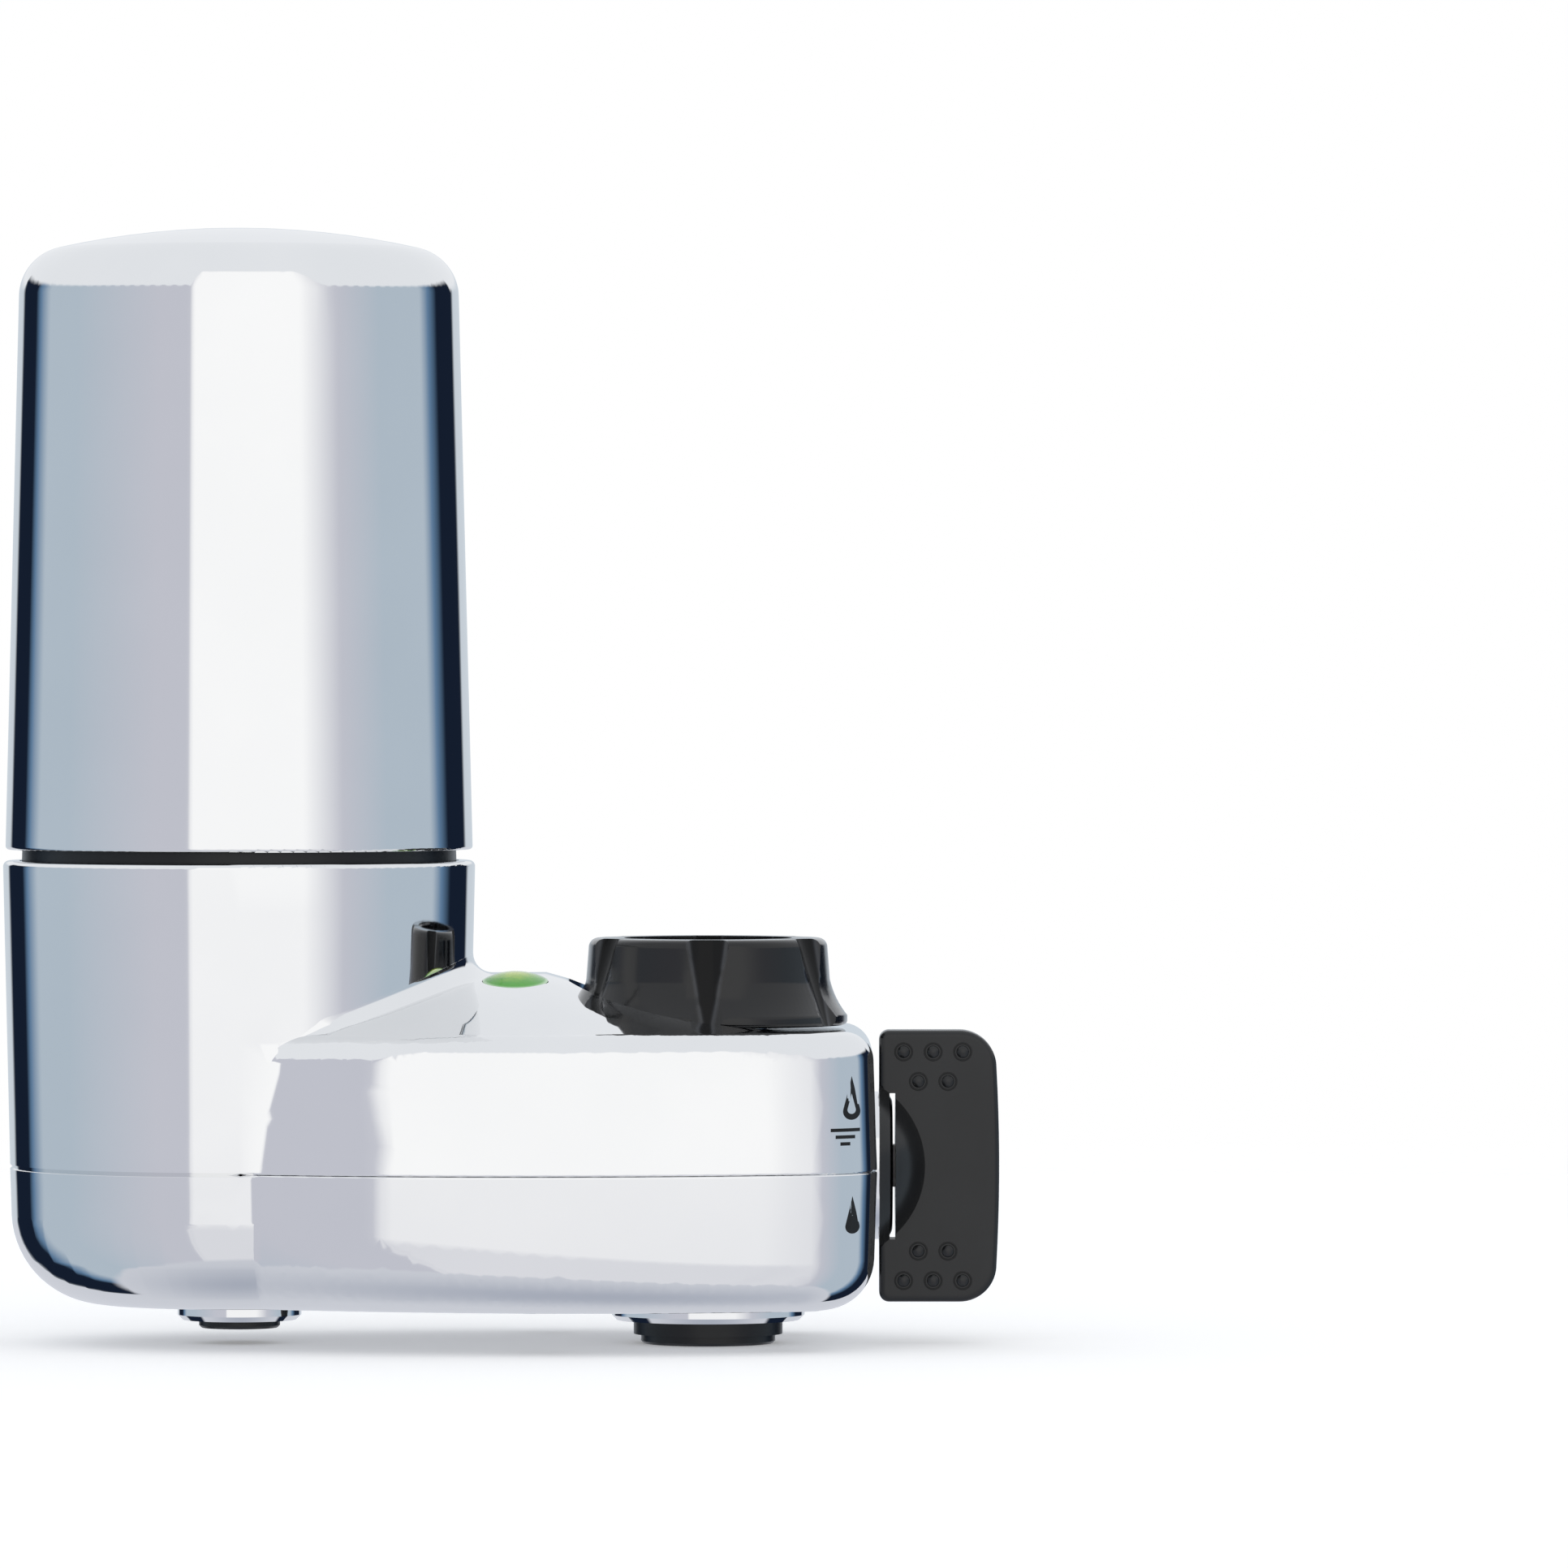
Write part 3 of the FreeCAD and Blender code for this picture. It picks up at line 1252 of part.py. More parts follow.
def cartridge_base():
    """End cap with the dark neck, the skirt inside the cup and the two spigots."""
    body = new_body("cartridge_base")
    step = BASE_Z + s.catch_height
    plug = s.cover_radius - s.cover_wall - s.fit_gap - s.base_rim * COVER_SLOPE
    top = NECK_Z + s.base_rim
    revolve(body, "base_turn", [
        (0, BASE_Z), (s.catch_radius, BASE_Z), (s.catch_radius, step), (cup_inside(step) - s.skirt_gap, step),
        (cup_inside(s.cup_height) - s.skirt_gap, s.cup_height), (s.neck_radius, NECK_Z - s.fit_gap),
        (plug, NECK_Z), (plug, top), (plug - s.base_wall, top),
        (cup_inside(step) - s.skirt_gap - s.base_wall, step + s.base_wall),
        (s.catch_radius - s.base_wall, step + s.base_wall), (s.catch_radius - s.base_wall, BASE_Z + s.base_wall),
        (0, BASE_Z + s.base_wall),
    ])
    centres = [(0, 0), (s.inlet_offset, 0)]
    drawing = draw_circles(new_sketch(body, "spigot_plan", "XY_Plane", BASE_Z), centres, s.spigot_radius)
    pad(body, "spigots", drawing, s.spigot_length, Reversed=True)
    grooves = draw_circles(new_sketch(body, "groove_outer", "XY_Plane", SPIGOT_SEAL_Z - s.seal_section / 2),
                           centres, s.spigot_radius + s.running_gap)
    draw_circles(grooves, centres, s.spigot_radius - s.seal_section)
    pocket(body, "seal_grooves", grooves, s.seal_section, Reversed=True)
    bores = draw_circles(new_sketch(body, "spigot_bores", "XY_Plane", BASE_Z - s.spigot_length),
                         centres, s.spigot_bore)
    pocket(body, "bores", bores, s.spigot_length + 2 * s.base_wall, Reversed=True)
    return body


def spigot_seals():
    section = s.seal_section / 2
    return group("spigot_seals", [
        ring_seal(f"spigot_seal_{n}", s.spigot_radius - section, section, x, 0, SPIGOT_SEAL_Z)
        for n, x in enumerate((size(0), s.inlet_offset))
    ])


def lower_cap():
    """Cap under the carbon block with the tube that leads to the middle spigot."""
    outer = CAP_RADIUS
    return turned("lower_cap", [
        (s.spigot_bore, BASE_Z + s.base_wall), (s.spigot_radius, BASE_Z + s.base_wall), (s.spigot_radius, CAP_Z),
        (outer, CAP_Z), (outer, BLOCK_Z + s.cap_rim), (outer - s.core_wall, BLOCK_Z + s.cap_rim),
        (outer - s.core_wall, BLOCK_Z), (s.spigot_bore, BLOCK_Z),
    ])


def upper_cap():
    outer = CAP_RADIUS
    low = BLOCK_Z + s.block_height
    return turned("upper_cap", [
        (0, low), (outer - s.core_wall, low), (outer - s.core_wall, low - s.cap_rim), (outer, low - s.cap_rim),
        (outer, low + s.cap_thickness), (0, low + s.cap_thickness),
    ])


def sleeve(label, inner, outer, low, height):
    return turned(label, [(inner, low), (outer, low), (outer, low + height), (inner, low + height)])


# Diverter lever, drawn from the nut's axis at the height of the seam.

def lever_plate():
    body = new_body("lever_plate")
    inner = LEVER_IN
    outer = LEVER_IN + s.lever_width
    half = s.lever_height / 2
    corner = s.lever_corner
    shoulder = outer - corner - s.lever_edge
    small = s.lever_edge * 1.5
    outline = [
        (inner + small, -half), (shoulder, -half), Arc(corner), (shoulder + corner, corner - half),
        Arc(s.lever_bow * 4), (shoulder + corner, half - corner), Arc(corner), (shoulder, half),
        (inner + small, half), Arc(small), (inner, half - small), (inner, small - half), Arc(small),
    ]
    drawing = draw_outline(new_sketch(body, "plate_outline", "XZ_Plane"), outline)
    pad(body, "plate_pad", drawing, s.lever_thickness, Midplane=True)
    side = s.lever_thickness / 2
    round_edges(body, "plate_edges", s.lever_edge,
                lambda edge: abs(edge.BoundBox.YMax - edge.BoundBox.YMin) < 1e-4 and
                abs(abs(edge.BoundBox.YMin) - side.value) < 1e-4)
    return body


def lever_hub():
    """Round cap in the middle of the lever, a slice of a ball."""
    centre = LEVER_IN + s.hub_reach - s.hub_radius
    rim = root(s.hub_radius * s.hub_radius - (LEVER_IN - centre) * (LEVER_IN - centre))
    return turned("lever_hub", [
        (LEVER_IN, 0), (LEVER_IN + s.hub_reach, 0), Arc(s.hub_radius), (LEVER_IN, rim),
    ], "H_Axis")


def dot_places():
    """Grip dots: three across each end of the lever, and two rows towards the hub."""
    row = s.lever_height / 2 - 2.9
    places = []
    for side in (-1, 1):
        for column in range(3):
            places.append((LEVER_IN + 3.3 + s.dot_spacing * column, row * side))
        for column in range(2):
            places.append((LEVER_IN + 3.3 + s.dot_spacing * (column + 0.5), (row - s.dot_spacing) * side))
    return places


def lever():
    dots = []
    sink = (s.dot_radius * s.dot_radius - s.dot_height * s.dot_height) / (2 * s.dot_height)
    ball = sink + s.dot_height
    for n, (x, z) in enumerate(dot_places()):
        for side in (-1, 1):
            dot = document.addObject("Part::Sphere", f"grip_dot_{n}_{'front' if side < 0 else 'back'}")
            dot.setExpression("Radius", ball.text)
            bind_place(dot, x, (s.lever_thickness / 2 - sink) * side, z)
            dots.append(dot)
    whole = fuse("lever_whole", [lever_plate(), lever_hub()] + dots)
    hole = s.stem_flat + 2 * s.fit_gap
    socket = block("lever_socket", s.socket_depth + OVERCUT, hole, hole, LEVER_IN - OVERCUT, -hole / 2, -hole / 2)
    recess = drum("boss_room", s.boss_radius + s.lever_gap, s.boss_proud, LEVER_IN, along_x=True)
    return cut("lever", whole, [socket, recess])


# The whole object.

def build():
    for made in (upper_shell(), lower_shell(), shell_screws(), cartridge_socket(), filtered_outlet(),
                 outlet_seal(), turbine_carrier(), flow_turbine(), release_button(), latch_ring(), latch_spring(),
                 circuit_board(), cartridge_cover(), cartridge_base(), spigot_seals(), lower_cap(),
                 upper_cap()):
        finish(made, -s.axis_distance)
    for label, inner, outer in (
        ("carbon_block", s.core_radius, s.block_radius),
        ("fleece_wrap", s.block_radius, s.block_radius + s.wrap_thickness),
        ("core_tube", s.core_radius - s.core_wall, s.core_radius),
    ):
        finish(sleeve(label, inner, outer, BLOCK_Z, s.block_height), -s.axis_distance)
    for made in (inlet_tube(), inlet_tube_seals()):
        finish(made, -s.axis_distance, SEAM_Z - s.tube_drop)
    for made in (valve_block(), nipple_seal(), valve_spool(), spool_seals(), valve_bonnet(), spray_head(),
                 spray_plate(), flow_straightener(), lever()):
        finish(made)
    for made in (mounting_nut(), inlet_nipple(), inlet_washer(), inlet_screen()):
        finish(made, z=0)
    finish(bottom_plug(), s.plug_at - s.axis_distance)
    for made, side, z in ((indicator_lens(), s.lens_side, SEAM_Z + LENS_Z), (indicator_led(), s.lens_side - 4, SEAM_Z)):
        finish(made, s.lens_at - s.axis_distance, z)
        made.setExpression("Placement.Base.y", (-side).text)
    for made in (coin_cell(), cell_holder()):
        finish(made, BOARD_X + s.board_length / 2 - s.axis_distance)


build()
document.recompute()

for item in document.Objects:
    if "Invalid" in item.State or "Error" in item.State:
        raise RuntimeError(f"{item.Name} failed: {item.State}")
os.makedirs("parts", exist_ok=True)
for item in finished:
    if item.Shape.isNull() or not item.Shape.isValid():
        raise RuntimeError(f"{item.Label} has no valid shape")
for item in finished:
    item.Shape.exportStep(f"parts/{item.Label}.step")
    print(f"{item.Label:20s} {len(item.Shape.Solids)} solids {item.Shape.Volume:10.1f} mm3")
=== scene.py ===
import json
import math

import bmesh
import bpy
from mathutils import Matrix, Vector
from mathutils.bvhtree import BVHTree

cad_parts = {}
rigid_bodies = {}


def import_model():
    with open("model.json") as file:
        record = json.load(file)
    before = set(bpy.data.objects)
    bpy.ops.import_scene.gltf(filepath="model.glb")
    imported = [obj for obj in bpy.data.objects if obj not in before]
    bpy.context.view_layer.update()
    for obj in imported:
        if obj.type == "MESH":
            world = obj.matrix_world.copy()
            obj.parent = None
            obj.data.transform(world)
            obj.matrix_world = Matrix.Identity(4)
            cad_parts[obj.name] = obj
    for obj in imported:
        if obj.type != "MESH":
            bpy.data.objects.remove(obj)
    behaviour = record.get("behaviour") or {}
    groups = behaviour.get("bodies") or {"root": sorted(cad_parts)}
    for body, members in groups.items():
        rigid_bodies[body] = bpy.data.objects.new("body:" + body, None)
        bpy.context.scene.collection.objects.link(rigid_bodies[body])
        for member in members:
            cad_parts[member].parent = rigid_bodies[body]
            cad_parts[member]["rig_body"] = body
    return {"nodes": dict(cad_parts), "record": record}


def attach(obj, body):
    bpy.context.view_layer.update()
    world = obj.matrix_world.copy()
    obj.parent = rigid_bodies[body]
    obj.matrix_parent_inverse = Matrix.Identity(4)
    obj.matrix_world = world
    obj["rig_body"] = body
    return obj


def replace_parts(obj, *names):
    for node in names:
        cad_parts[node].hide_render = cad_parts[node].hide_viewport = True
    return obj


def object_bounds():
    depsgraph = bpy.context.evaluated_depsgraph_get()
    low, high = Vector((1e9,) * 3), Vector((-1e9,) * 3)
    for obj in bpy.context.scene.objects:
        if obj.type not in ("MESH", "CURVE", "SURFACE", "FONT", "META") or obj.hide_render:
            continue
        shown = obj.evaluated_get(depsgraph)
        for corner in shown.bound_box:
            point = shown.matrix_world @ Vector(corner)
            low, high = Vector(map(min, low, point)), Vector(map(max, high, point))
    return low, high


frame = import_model()
cad_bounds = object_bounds()
MM = 0.001


# Arithmetic on shader sockets.

class Value:
    """A socket of one finish, with plain arithmetic on it."""

    def __init__(self, finish, socket):
        self.finish = finish
        self.socket = socket

    def combined(self, operation, *operands):
        sockets = dict(enumerate(operands))
        return self.finish.node("ShaderNodeMath", {"operation": operation}, sockets)

    def __add__(self, other):
        return self.combined("ADD", self, other)

    def __radd__(self, other):
        return self.combined("ADD", other, self)

    def __sub__(self, other):
        return self.combined("SUBTRACT", self, other)

    def __rsub__(self, other):
        return self.combined("SUBTRACT", other, self)

    def __mul__(self, other):
        return self.combined("MULTIPLY", self, other)

    def __rmul__(self, other):
        return self.combined("MULTIPLY", other, self)

    def __truediv__(self, other):
        return self.combined("DIVIDE", self, other)

    def __rtruediv__(self, other):
        return self.combined("DIVIDE", other, self)

    def __pow__(self, other):
        return self.combined("POWER", self, other)

    def angle(self, other):
        """Angle in degrees whose tangent is this value over the other."""
        return self.combined("ARCTAN2", self, other) * math.degrees(1)

    def step(self, low, high):
        """0 below low, 1 above high, smooth between them."""
        settings = {"interpolation_type": "SMOOTHSTEP", "clamp": True}
        sockets = {"Value": self, "From Min": low, "From Max": high, "To Min": 0.0, "To Max": 1.0}
        return self.finish.node("ShaderNodeMapRange", settings, sockets)


# Sockets of a colour mix.
MIX_SHARE, MIX_LOW, MIX_HIGH, MIX_COLOUR = 0, 6, 7, 2


class Finish:
    """One material, drawn in the object's own coordinates."""

    def __init__(self, name, **sockets):
        self.material = bpy.data.materials.new(name)
        self.material.use_nodes = True
        self.tree = self.material.node_tree
        self.shader = self.tree.nodes["Principled BSDF"]
        self.set_sockets(self.shader, sockets)

    def set_sockets(self, node, sockets):
        for key, value in sockets.items():
            if isinstance(value, Value):
                self.tree.links.new(value.socket, node.inputs[key])
            else:
                node.inputs[key].default_value = value

    def node(self, kind, settings=None, sockets=None, output=0):
        made = self.tree.nodes.new(kind)
        for key, value in (settings or {}).items():
            if key == "stops":
                ramp = made.color_ramp
                while len(ramp.elements) < len(value):
                    ramp.elements.new(1.0)
                for element, (place, colour) in zip(ramp.elements, value):
                    element.position = place
                    element.color = colour
            else:
                setattr(made, key, value)
        self.set_sockets(made, sockets or {})
        return Value(self, made.outputs[output])

    def place(self, scale=1000.0, centre=(0, 0, 0)):
        """Object coordinates in millimetres, or in another unit, from a centre in millimetres."""
        coordinates = self.node("ShaderNodeTexCoord", output="Object")
        shift = tuple(-c * scale * MM for c in centre)
        sockets = {"Vector": coordinates, "Location": shift, "Scale": (scale,) * 3}
        return self.node("ShaderNodeMapping", {"vector_type": "POINT"}, sockets)

    def axes(self, place):
        return [self.node("ShaderNodeSeparateXYZ", {}, {0: place}, output=axis) for axis in range(3)]

    def noise(self, place, scale, detail=2.0, roughness=0.5):
        sockets = {"Vector": place, "Scale": scale, "Detail": detail, "Roughness": roughness}
        return self.node("ShaderNodeTexNoise", {}, sockets)

    def mixed(self, share, low, high):
        """Colour running from low to high with the share."""
        sockets = {MIX_SHARE: share, MIX_LOW: low, MIX_HIGH: high}
        return self.node("ShaderNodeMix", {"data_type": "RGBA"}, sockets, output=MIX_COLOUR)

    def bump(self, height, strength, distance):
        sockets = {"Strength": strength, "Distance": distance, "Height": height}
        return self.node("ShaderNodeBump", {}, sockets)

    def apply(self, **sockets):
        self.set_sockets(self.shader, sockets)
        return self.material


def grey(level, blue=0.0):
    return (level, level + blue * 0.5, level + blue, 1.0)


def chrome_plate():
    """Bright plating with faint wiping marks and a few dull specks."""
    finish = Finish("chrome_plate", Metallic=1.0)
    place = finish.place()
    haze = finish.noise(place, 0.05, 3.0)
    wiping = finish.noise(place, 0.6, 4.0, 0.6)
    specks = finish.noise(place, 2.6, 2.0)
    return finish.apply(**{
        "Base Color": finish.mixed(haze.step(0.3, 0.75), grey(0.845, 0.012), grey(0.865, 0.008)),
        "Roughness": 0.03 + wiping.step(0.4, 0.75) * 0.012 + specks.step(0.64, 0.76) * 0.02,
        "Normal": finish.bump(wiping, 0.02, 0.00002),
    })


def moulded(name, colour, roughness, grain=0.1, shine=0.5):
    """Moulded plastic with a fine grain and slight wear in its gloss."""
    finish = Finish(name, **{"Specular IOR Level": shine})
    place = finish.place()
    cloud = finish.noise(place, 0.12, 3.0)
    fine = finish.noise(place, 7.0, 2.0)
    light = tuple(min(1.0, c * 1.2 + 0.002) for c in colour[:3]) + (1.0,)
    return finish.apply(**{
        "Base Color": finish.mixed(cloud.step(0.3, 0.75), colour, light),
        "Roughness": roughness + (cloud - 0.5) * 0.1 + (fine - 0.5) * 0.08,
        "Normal": finish.bump(fine, grain, 0.00006),
    })


# The nut's flutes, in degrees about its axis: one at the front, each wider towards its top.
FLUTE_TURN = 60.0
FLUTE_PHASE = 450.0
FLUTE_HALF = 9.6
FLUTE_TAPER = 0.66
# Width of the painted highlight along each flute's border, in degrees.
HIGHLIGHT_WIDTH = 1.8
NUT_BODY = (0.0050, 0.0053, 0.0060, 1)
# Painted shade in the nut's flutes.
NUT_PAINTED_FLUTE_SHADE = (0.0022, 0.0024, 0.0028, 1)
# Painted highlight along the flutes' borders.
NUT_PAINTED_HIGHLIGHT = (0.040, 0.043, 0.050, 1)


def nut_black():
    """Glossy black, duller in the six flutes, with painted shade in the flutes and a painted highlight
    along their borders.
    """
    finish = Finish("nut_black", **{"Specular IOR Level": 0.14, "Coat Roughness": 0.14})
    place = finish.place()
    x, y, z = finish.axes(place)
    cloud = finish.noise(place, 0.3, 3.0)
    fine = finish.noise(place, 8.0, 2.0)
    turn = y.angle(x) + FLUTE_PHASE
    from_flute = turn.combined("PINGPONG", turn, FLUTE_TURN / 2)
    border = FLUTE_HALF + z * FLUTE_TAPER
    off_border = ((from_flute - border) * (from_flute - border)) ** 0.5
    # Painted highlight along each flute's border, in patches.
    painted_highlight = (1 - off_border.step(0.0, HIGHLIGHT_WIDTH)) * cloud.step(0.25, 0.55)
    hollow = 1 - from_flute.step(border - 1.0, border)
    # Painted shade inside the flutes.
    body = finish.mixed(hollow, NUT_BODY, NUT_PAINTED_FLUTE_SHADE)
    return finish.apply(**{
        "Base Color": finish.mixed(painted_highlight * 0.7, body, NUT_PAINTED_HIGHLIGHT),
        "Roughness": 0.22 + (cloud - 0.5) * 0.08 + (fine - 0.5) * 0.05,
        "Coat Weight": 0.7 - hollow * 0.6,
        "Normal": finish.bump(fine, 0.08, 0.00006),
    })


def metal(name, colour, roughness):
    """Bare or plated metal with a cloudy, finely brushed face."""
    finish = Finish(name, Metallic=1.0)
    place = finish.place()
    cloud = finish.noise(place, 0.5, 4.0)
    fine = finish.noise(place, 12.0, 2.0)
    dark = tuple(c * 0.85 for c in colour[:3]) + (1.0,)
    return finish.apply(**{
        "Base Color": finish.mixed(cloud.step(0.35, 0.7), colour, dark),
        "Roughness": roughness + fine * 0.12,
        "Normal": finish.bump(fine, 0.08, 0.00003),
    })


LENS_CENTRE = (-25.9, -11.5, 0.0)
LENS_RADIUS = 4.4
LENS_GLOW = (0.50, 0.66, 0.05, 1)
LENS_GREEN = (0.08, 0.40, 0.03, 1)
# Painted highlight round the lens's edge.
LENS_PAINTED_HIGHLIGHT = (0.52, 0.78, 0.46, 1)


def green_lens():
    """Clear green with a yellow glow in the middle and a painted highlight round its edge."""
    finish = Finish("green_lens", **{"Specular IOR Level": 0.6, "Coat Weight": 0.5, "Coat Roughness": 0.05})
    place = finish.place(1000.0, LENS_CENTRE)
    x, y, _ = finish.axes(place)
    reach = (x * x + y * y) ** 0.5 / LENS_RADIUS
    cloud = finish.noise(place, 0.9, 3.0)
    fine = finish.noise(place, 9.0, 2.0)
    body = finish.mixed((reach + (cloud - 0.5) * 0.5).step(0.0, 0.85), LENS_GLOW, LENS_GREEN)
    return finish.apply(**{
        # Painted highlight round the edge.
        "Base Color": finish.mixed(reach.step(0.88, 0.99), body, LENS_PAINTED_HIGHLIGHT),
        "Roughness": 0.12 + fine * 0.08,
        "Normal": finish.bump(cloud, 0.15, 0.0002),
    })


FINISHES = {
    "chrome_plate": chrome_plate(),
    "black_plastic": moulded("black_plastic", grey(0.008, 0.0012), 0.24, 0.12, 0.45),
    "dark_plastic": moulded("dark_plastic", grey(0.010, 0.002), 0.34, 0.12, 0.35),
    "pale_plastic": moulded("pale_plastic", grey(0.62), 0.4),
    "green_lens": green_lens(),
    "seal_rubber": moulded("seal_rubber", grey(0.012), 0.6, 0.3),
    "screw_steel": metal("screw_steel", grey(0.55), 0.25),
    "plated_brass": metal("plated_brass", (0.72, 0.70, 0.66, 1.0), 0.2),
    "board_green": moulded("board_green", (0.01, 0.10, 0.03, 1.0), 0.35),
    "carbon": moulded("carbon", grey(0.015), 0.9, 0.6),
    "fleece": moulded("fleece", grey(0.75), 0.95, 0.6),
}
MARK_INK = moulded("mark_ink", grey(0.006), 0.35, 0.15, 0.3)
NUT_BLACK = nut_black()


# Pieces that ride on the frame's nodes.

NODE_SLOT = {part["node"]: part["material_slot"] for part in frame["record"]["subparts"]}
SHARP_ANGLE = math.radians(38)
JOIN_WITHIN = 1e-7


def joined(node):
    """A node's own mesh with its loose triangles joined."""
    shape = bmesh.new()
    shape.from_mesh(frame["nodes"][node].data)
    bmesh.ops.remove_doubles(shape, verts=shape.verts, dist=JOIN_WITHIN)
    bmesh.ops.dissolve_degenerate(shape, edges=shape.edges, dist=JOIN_WITHIN)
    return shape


def corner_normals(shape):
    """Normal of each face corner, in which large faces count more than narrow ones beside them."""
    normals = {}
    for vert in shape.verts:
        weights = {loop.face: loop.face.calc_area() * loop.calc_angle() for loop in vert.link_loops}
        pending = list(weights)
        while pending:
            queue = [pending.pop()]
            fan = []
            while queue:
                face = queue.pop()
                fan.append(face)
                for edge in vert.link_edges:
                    if edge.smooth and face in edge.link_faces:
                        for other in edge.link_faces:
                            if other in pending:
                                pending.remove(other)
                                queue.append(other)
            total = sum((face.normal * weights[face] for face in fan), Vector())
            for face in fan:
                normals[face.index, vert.index] = total.normalized()
    return [normals[face.index, vert.index] for face in shape.faces for vert in face.verts]


def made(name, shape, finish):
    """Turns a shape into an object of one material."""
    mesh = bpy.data.meshes.new(name)
    shape.to_mesh(mesh)
    shape.free()
    mesh.materials.append(finish)
    thing = bpy.data.objects.new(name, mesh)
    bpy.context.scene.collection.objects.link(thing)
    return thing


def finished(name, shape, finish, node):
    """A piece that moves with a node, shaded round up to an angle."""
    for face in shape.faces:
        face.smooth = True
    for edge in shape.edges:
        edge.smooth = edge.calc_face_angle(math.pi) < SHARP_ANGLE
    shape.verts.index_update()
    shape.faces.index_update()
    shape.normal_update()
    normals = corner_normals(shape)
    piece = made(name, shape, finish)
    piece.data.normals_split_custom_set(normals)
    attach(piece, frame["nodes"][node]["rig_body"])
    return piece


def surface(node):
    """Finds points on a node's surface."""
    shape = joined(node)
    tree = BVHTree.FromBMesh(shape)
    shape.free()
    return tree


RAY_START = 1.0
UPPER = surface("upper_shell")
LOWER = surface("lower_shell")
LEVER = surface("lever")


def front(trees, x, z):
    """Depth of the first surface met from the front at x and z, all in millimetres."""
    start = Vector((x * MM, -RAY_START, z * MM))
    hits = [tree.ray_cast(start, Vector((0, 1, 0)))[0] for tree in trees]
    return min(hit.y for hit in hits if hit) / MM


# Printed marks on the arm's end.

MARK_RAISE = 0.035
MARK_DEPTH = 0.06
DROP_POINTS = 40
OPEN_DROP = {"width": 2.3, "height": 5.8, "centre": (19.35, -20.8)}
OPEN_SHARE = (0.5, 0.48)
OPEN_SINK = 0.72
FULL_DROP = {"width": 1.9, "height": 5.0, "centre": (19.45, -36.4)}
FULL_SHARES = (1.0, 0.7, 0.4, 0.04)
SIGN_X = 18.5
SIGN_TOP = -24.8
SIGN_WIDTHS = (3.9, 2.6, 1.3)
SIGN_PITCH = 0.92
SIGN_BAR = 0.46
SIGN_COLUMNS = 10


def drop_outline(width, height):
    """Outline of a drop with its tip up, from its centre."""
    radius = width / 2
    centre = -height / 2 + radius
    start = math.asin(radius / (height - radius))
    points = [(0.0, height / 2)]
    for n in range(DROP_POINTS + 1):
        turn = start - (math.pi + 2 * start) * n / DROP_POINTS
        points.append((radius * math.cos(turn), centre + radius * math.sin(turn)))
    return points


def laid(shape, rings, closed=True):
    """Bands between point rings, laid on the arm's front wall."""
    rows = []
    for ring in rings:
        row = []
        for x, z in ring:
            depth = front((UPPER, LOWER), x, z) - MARK_RAISE
            row.append(shape.verts.new((x * MM, depth * MM, z * MM)))
        rows.append(row)
    for near, far in zip(rows, rows[1:]):
        count = len(near)
        for n in range(count if closed else count - 1):
            following = (n + 1) % count
            shape.faces.new((near[n], near[following], far[following], far[n]))


def moved(points, centre, share=1.0):
    """Points about a new centre, drawn together by the share."""
    return [(centre[0] + x * share, centre[1] + z * share) for x, z in points]


def mark(name, fields, node, closed=True):
    """Thin black print on a shell, of one or more fields."""
    shape = bmesh.new()
    for rings in fields:
        laid(shape, rings, closed)
    bmesh.ops.recalc_face_normals(shape, faces=shape.faces)
    if sum(face.normal.y for face in shape.faces) > 0:
        bmesh.ops.reverse_faces(shape, faces=shape.faces)
    bmesh.ops.solidify(shape, geom=shape.faces, thickness=MARK_DEPTH * MM)
    finished(name, shape, MARK_INK, node)


def printed_marks():
    """An open drop and a sign of three bars for filtered water, a full drop for plain water."""
    outer = drop_outline(OPEN_DROP["width"], OPEN_DROP["height"])
    inner = [(x * OPEN_SHARE[0], z * OPEN_SHARE[1] - OPEN_SINK) for x, z in outer]
    middle = [((a + c) / 2, (b + d) / 2) for (a, b), (c, d) in zip(outer, inner)]
    rings = [moved(points, OPEN_DROP["centre"]) for points in (outer, middle, inner)]
    mark("mark_filtered_drop", [rings], "upper_shell")
    bars = []
    for level, width in enumerate(SIGN_WIDTHS):
        top = SIGN_TOP - level * SIGN_PITCH
        columns = [SIGN_X - width / 2 + width * n / SIGN_COLUMNS for n in range(SIGN_COLUMNS + 1)]
        bars.append([[(x, top) for x in columns], [(x, top - SIGN_BAR) for x in columns]])
    mark("mark_filtered_sign", bars, "upper_shell", closed=False)
    full = drop_outline(FULL_DROP["width"], FULL_DROP["height"])
    rings = [moved(full, FULL_DROP["centre"], share) for share in FULL_SHARES]
    mark("mark_plain_drop", [rings], "lower_shell")


# Trim that the solids leave out.

CUP_AXIS = -63.6
CUP_TOP = 10.5
CUP_RADIUS = 32.0
CUP_SLOPE = math.tan(math.radians(1.3))
BAND_WIDTH = 2.6
BAND_LEAST = 0.3
BAND_NARROWER = 0.1
BAND_REACH = 84
BAND_TURNS = 120
BAND_STEPS = 8
BAND_SINK = 0.4
ROOF_LEAST = -13.0
ROOF_MOST = 8.5
ROOF_UP = 0.75


def roof_under(radius, turn):
    """Height of the roof straight under a point beside the cup, or None off the roof."""
    x = CUP_AXIS + radius * math.cos(turn)
    y = radius * math.sin(turn)
    hit, normal, _, _ = UPPER.ray_cast(Vector((x * MM, y * MM, CUP_TOP * 2 * MM)), Vector((0, 0, -1)))
    if hit is None or normal.z < ROOF_UP or not ROOF_LEAST < hit.z / MM < ROOF_MOST:
        return None
    return hit.z / MM


def cup_wall(z):
    """Radius of the cup's outer wall at a height."""
    return CUP_RADIUS - (CUP_TOP - z) * CUP_SLOPE


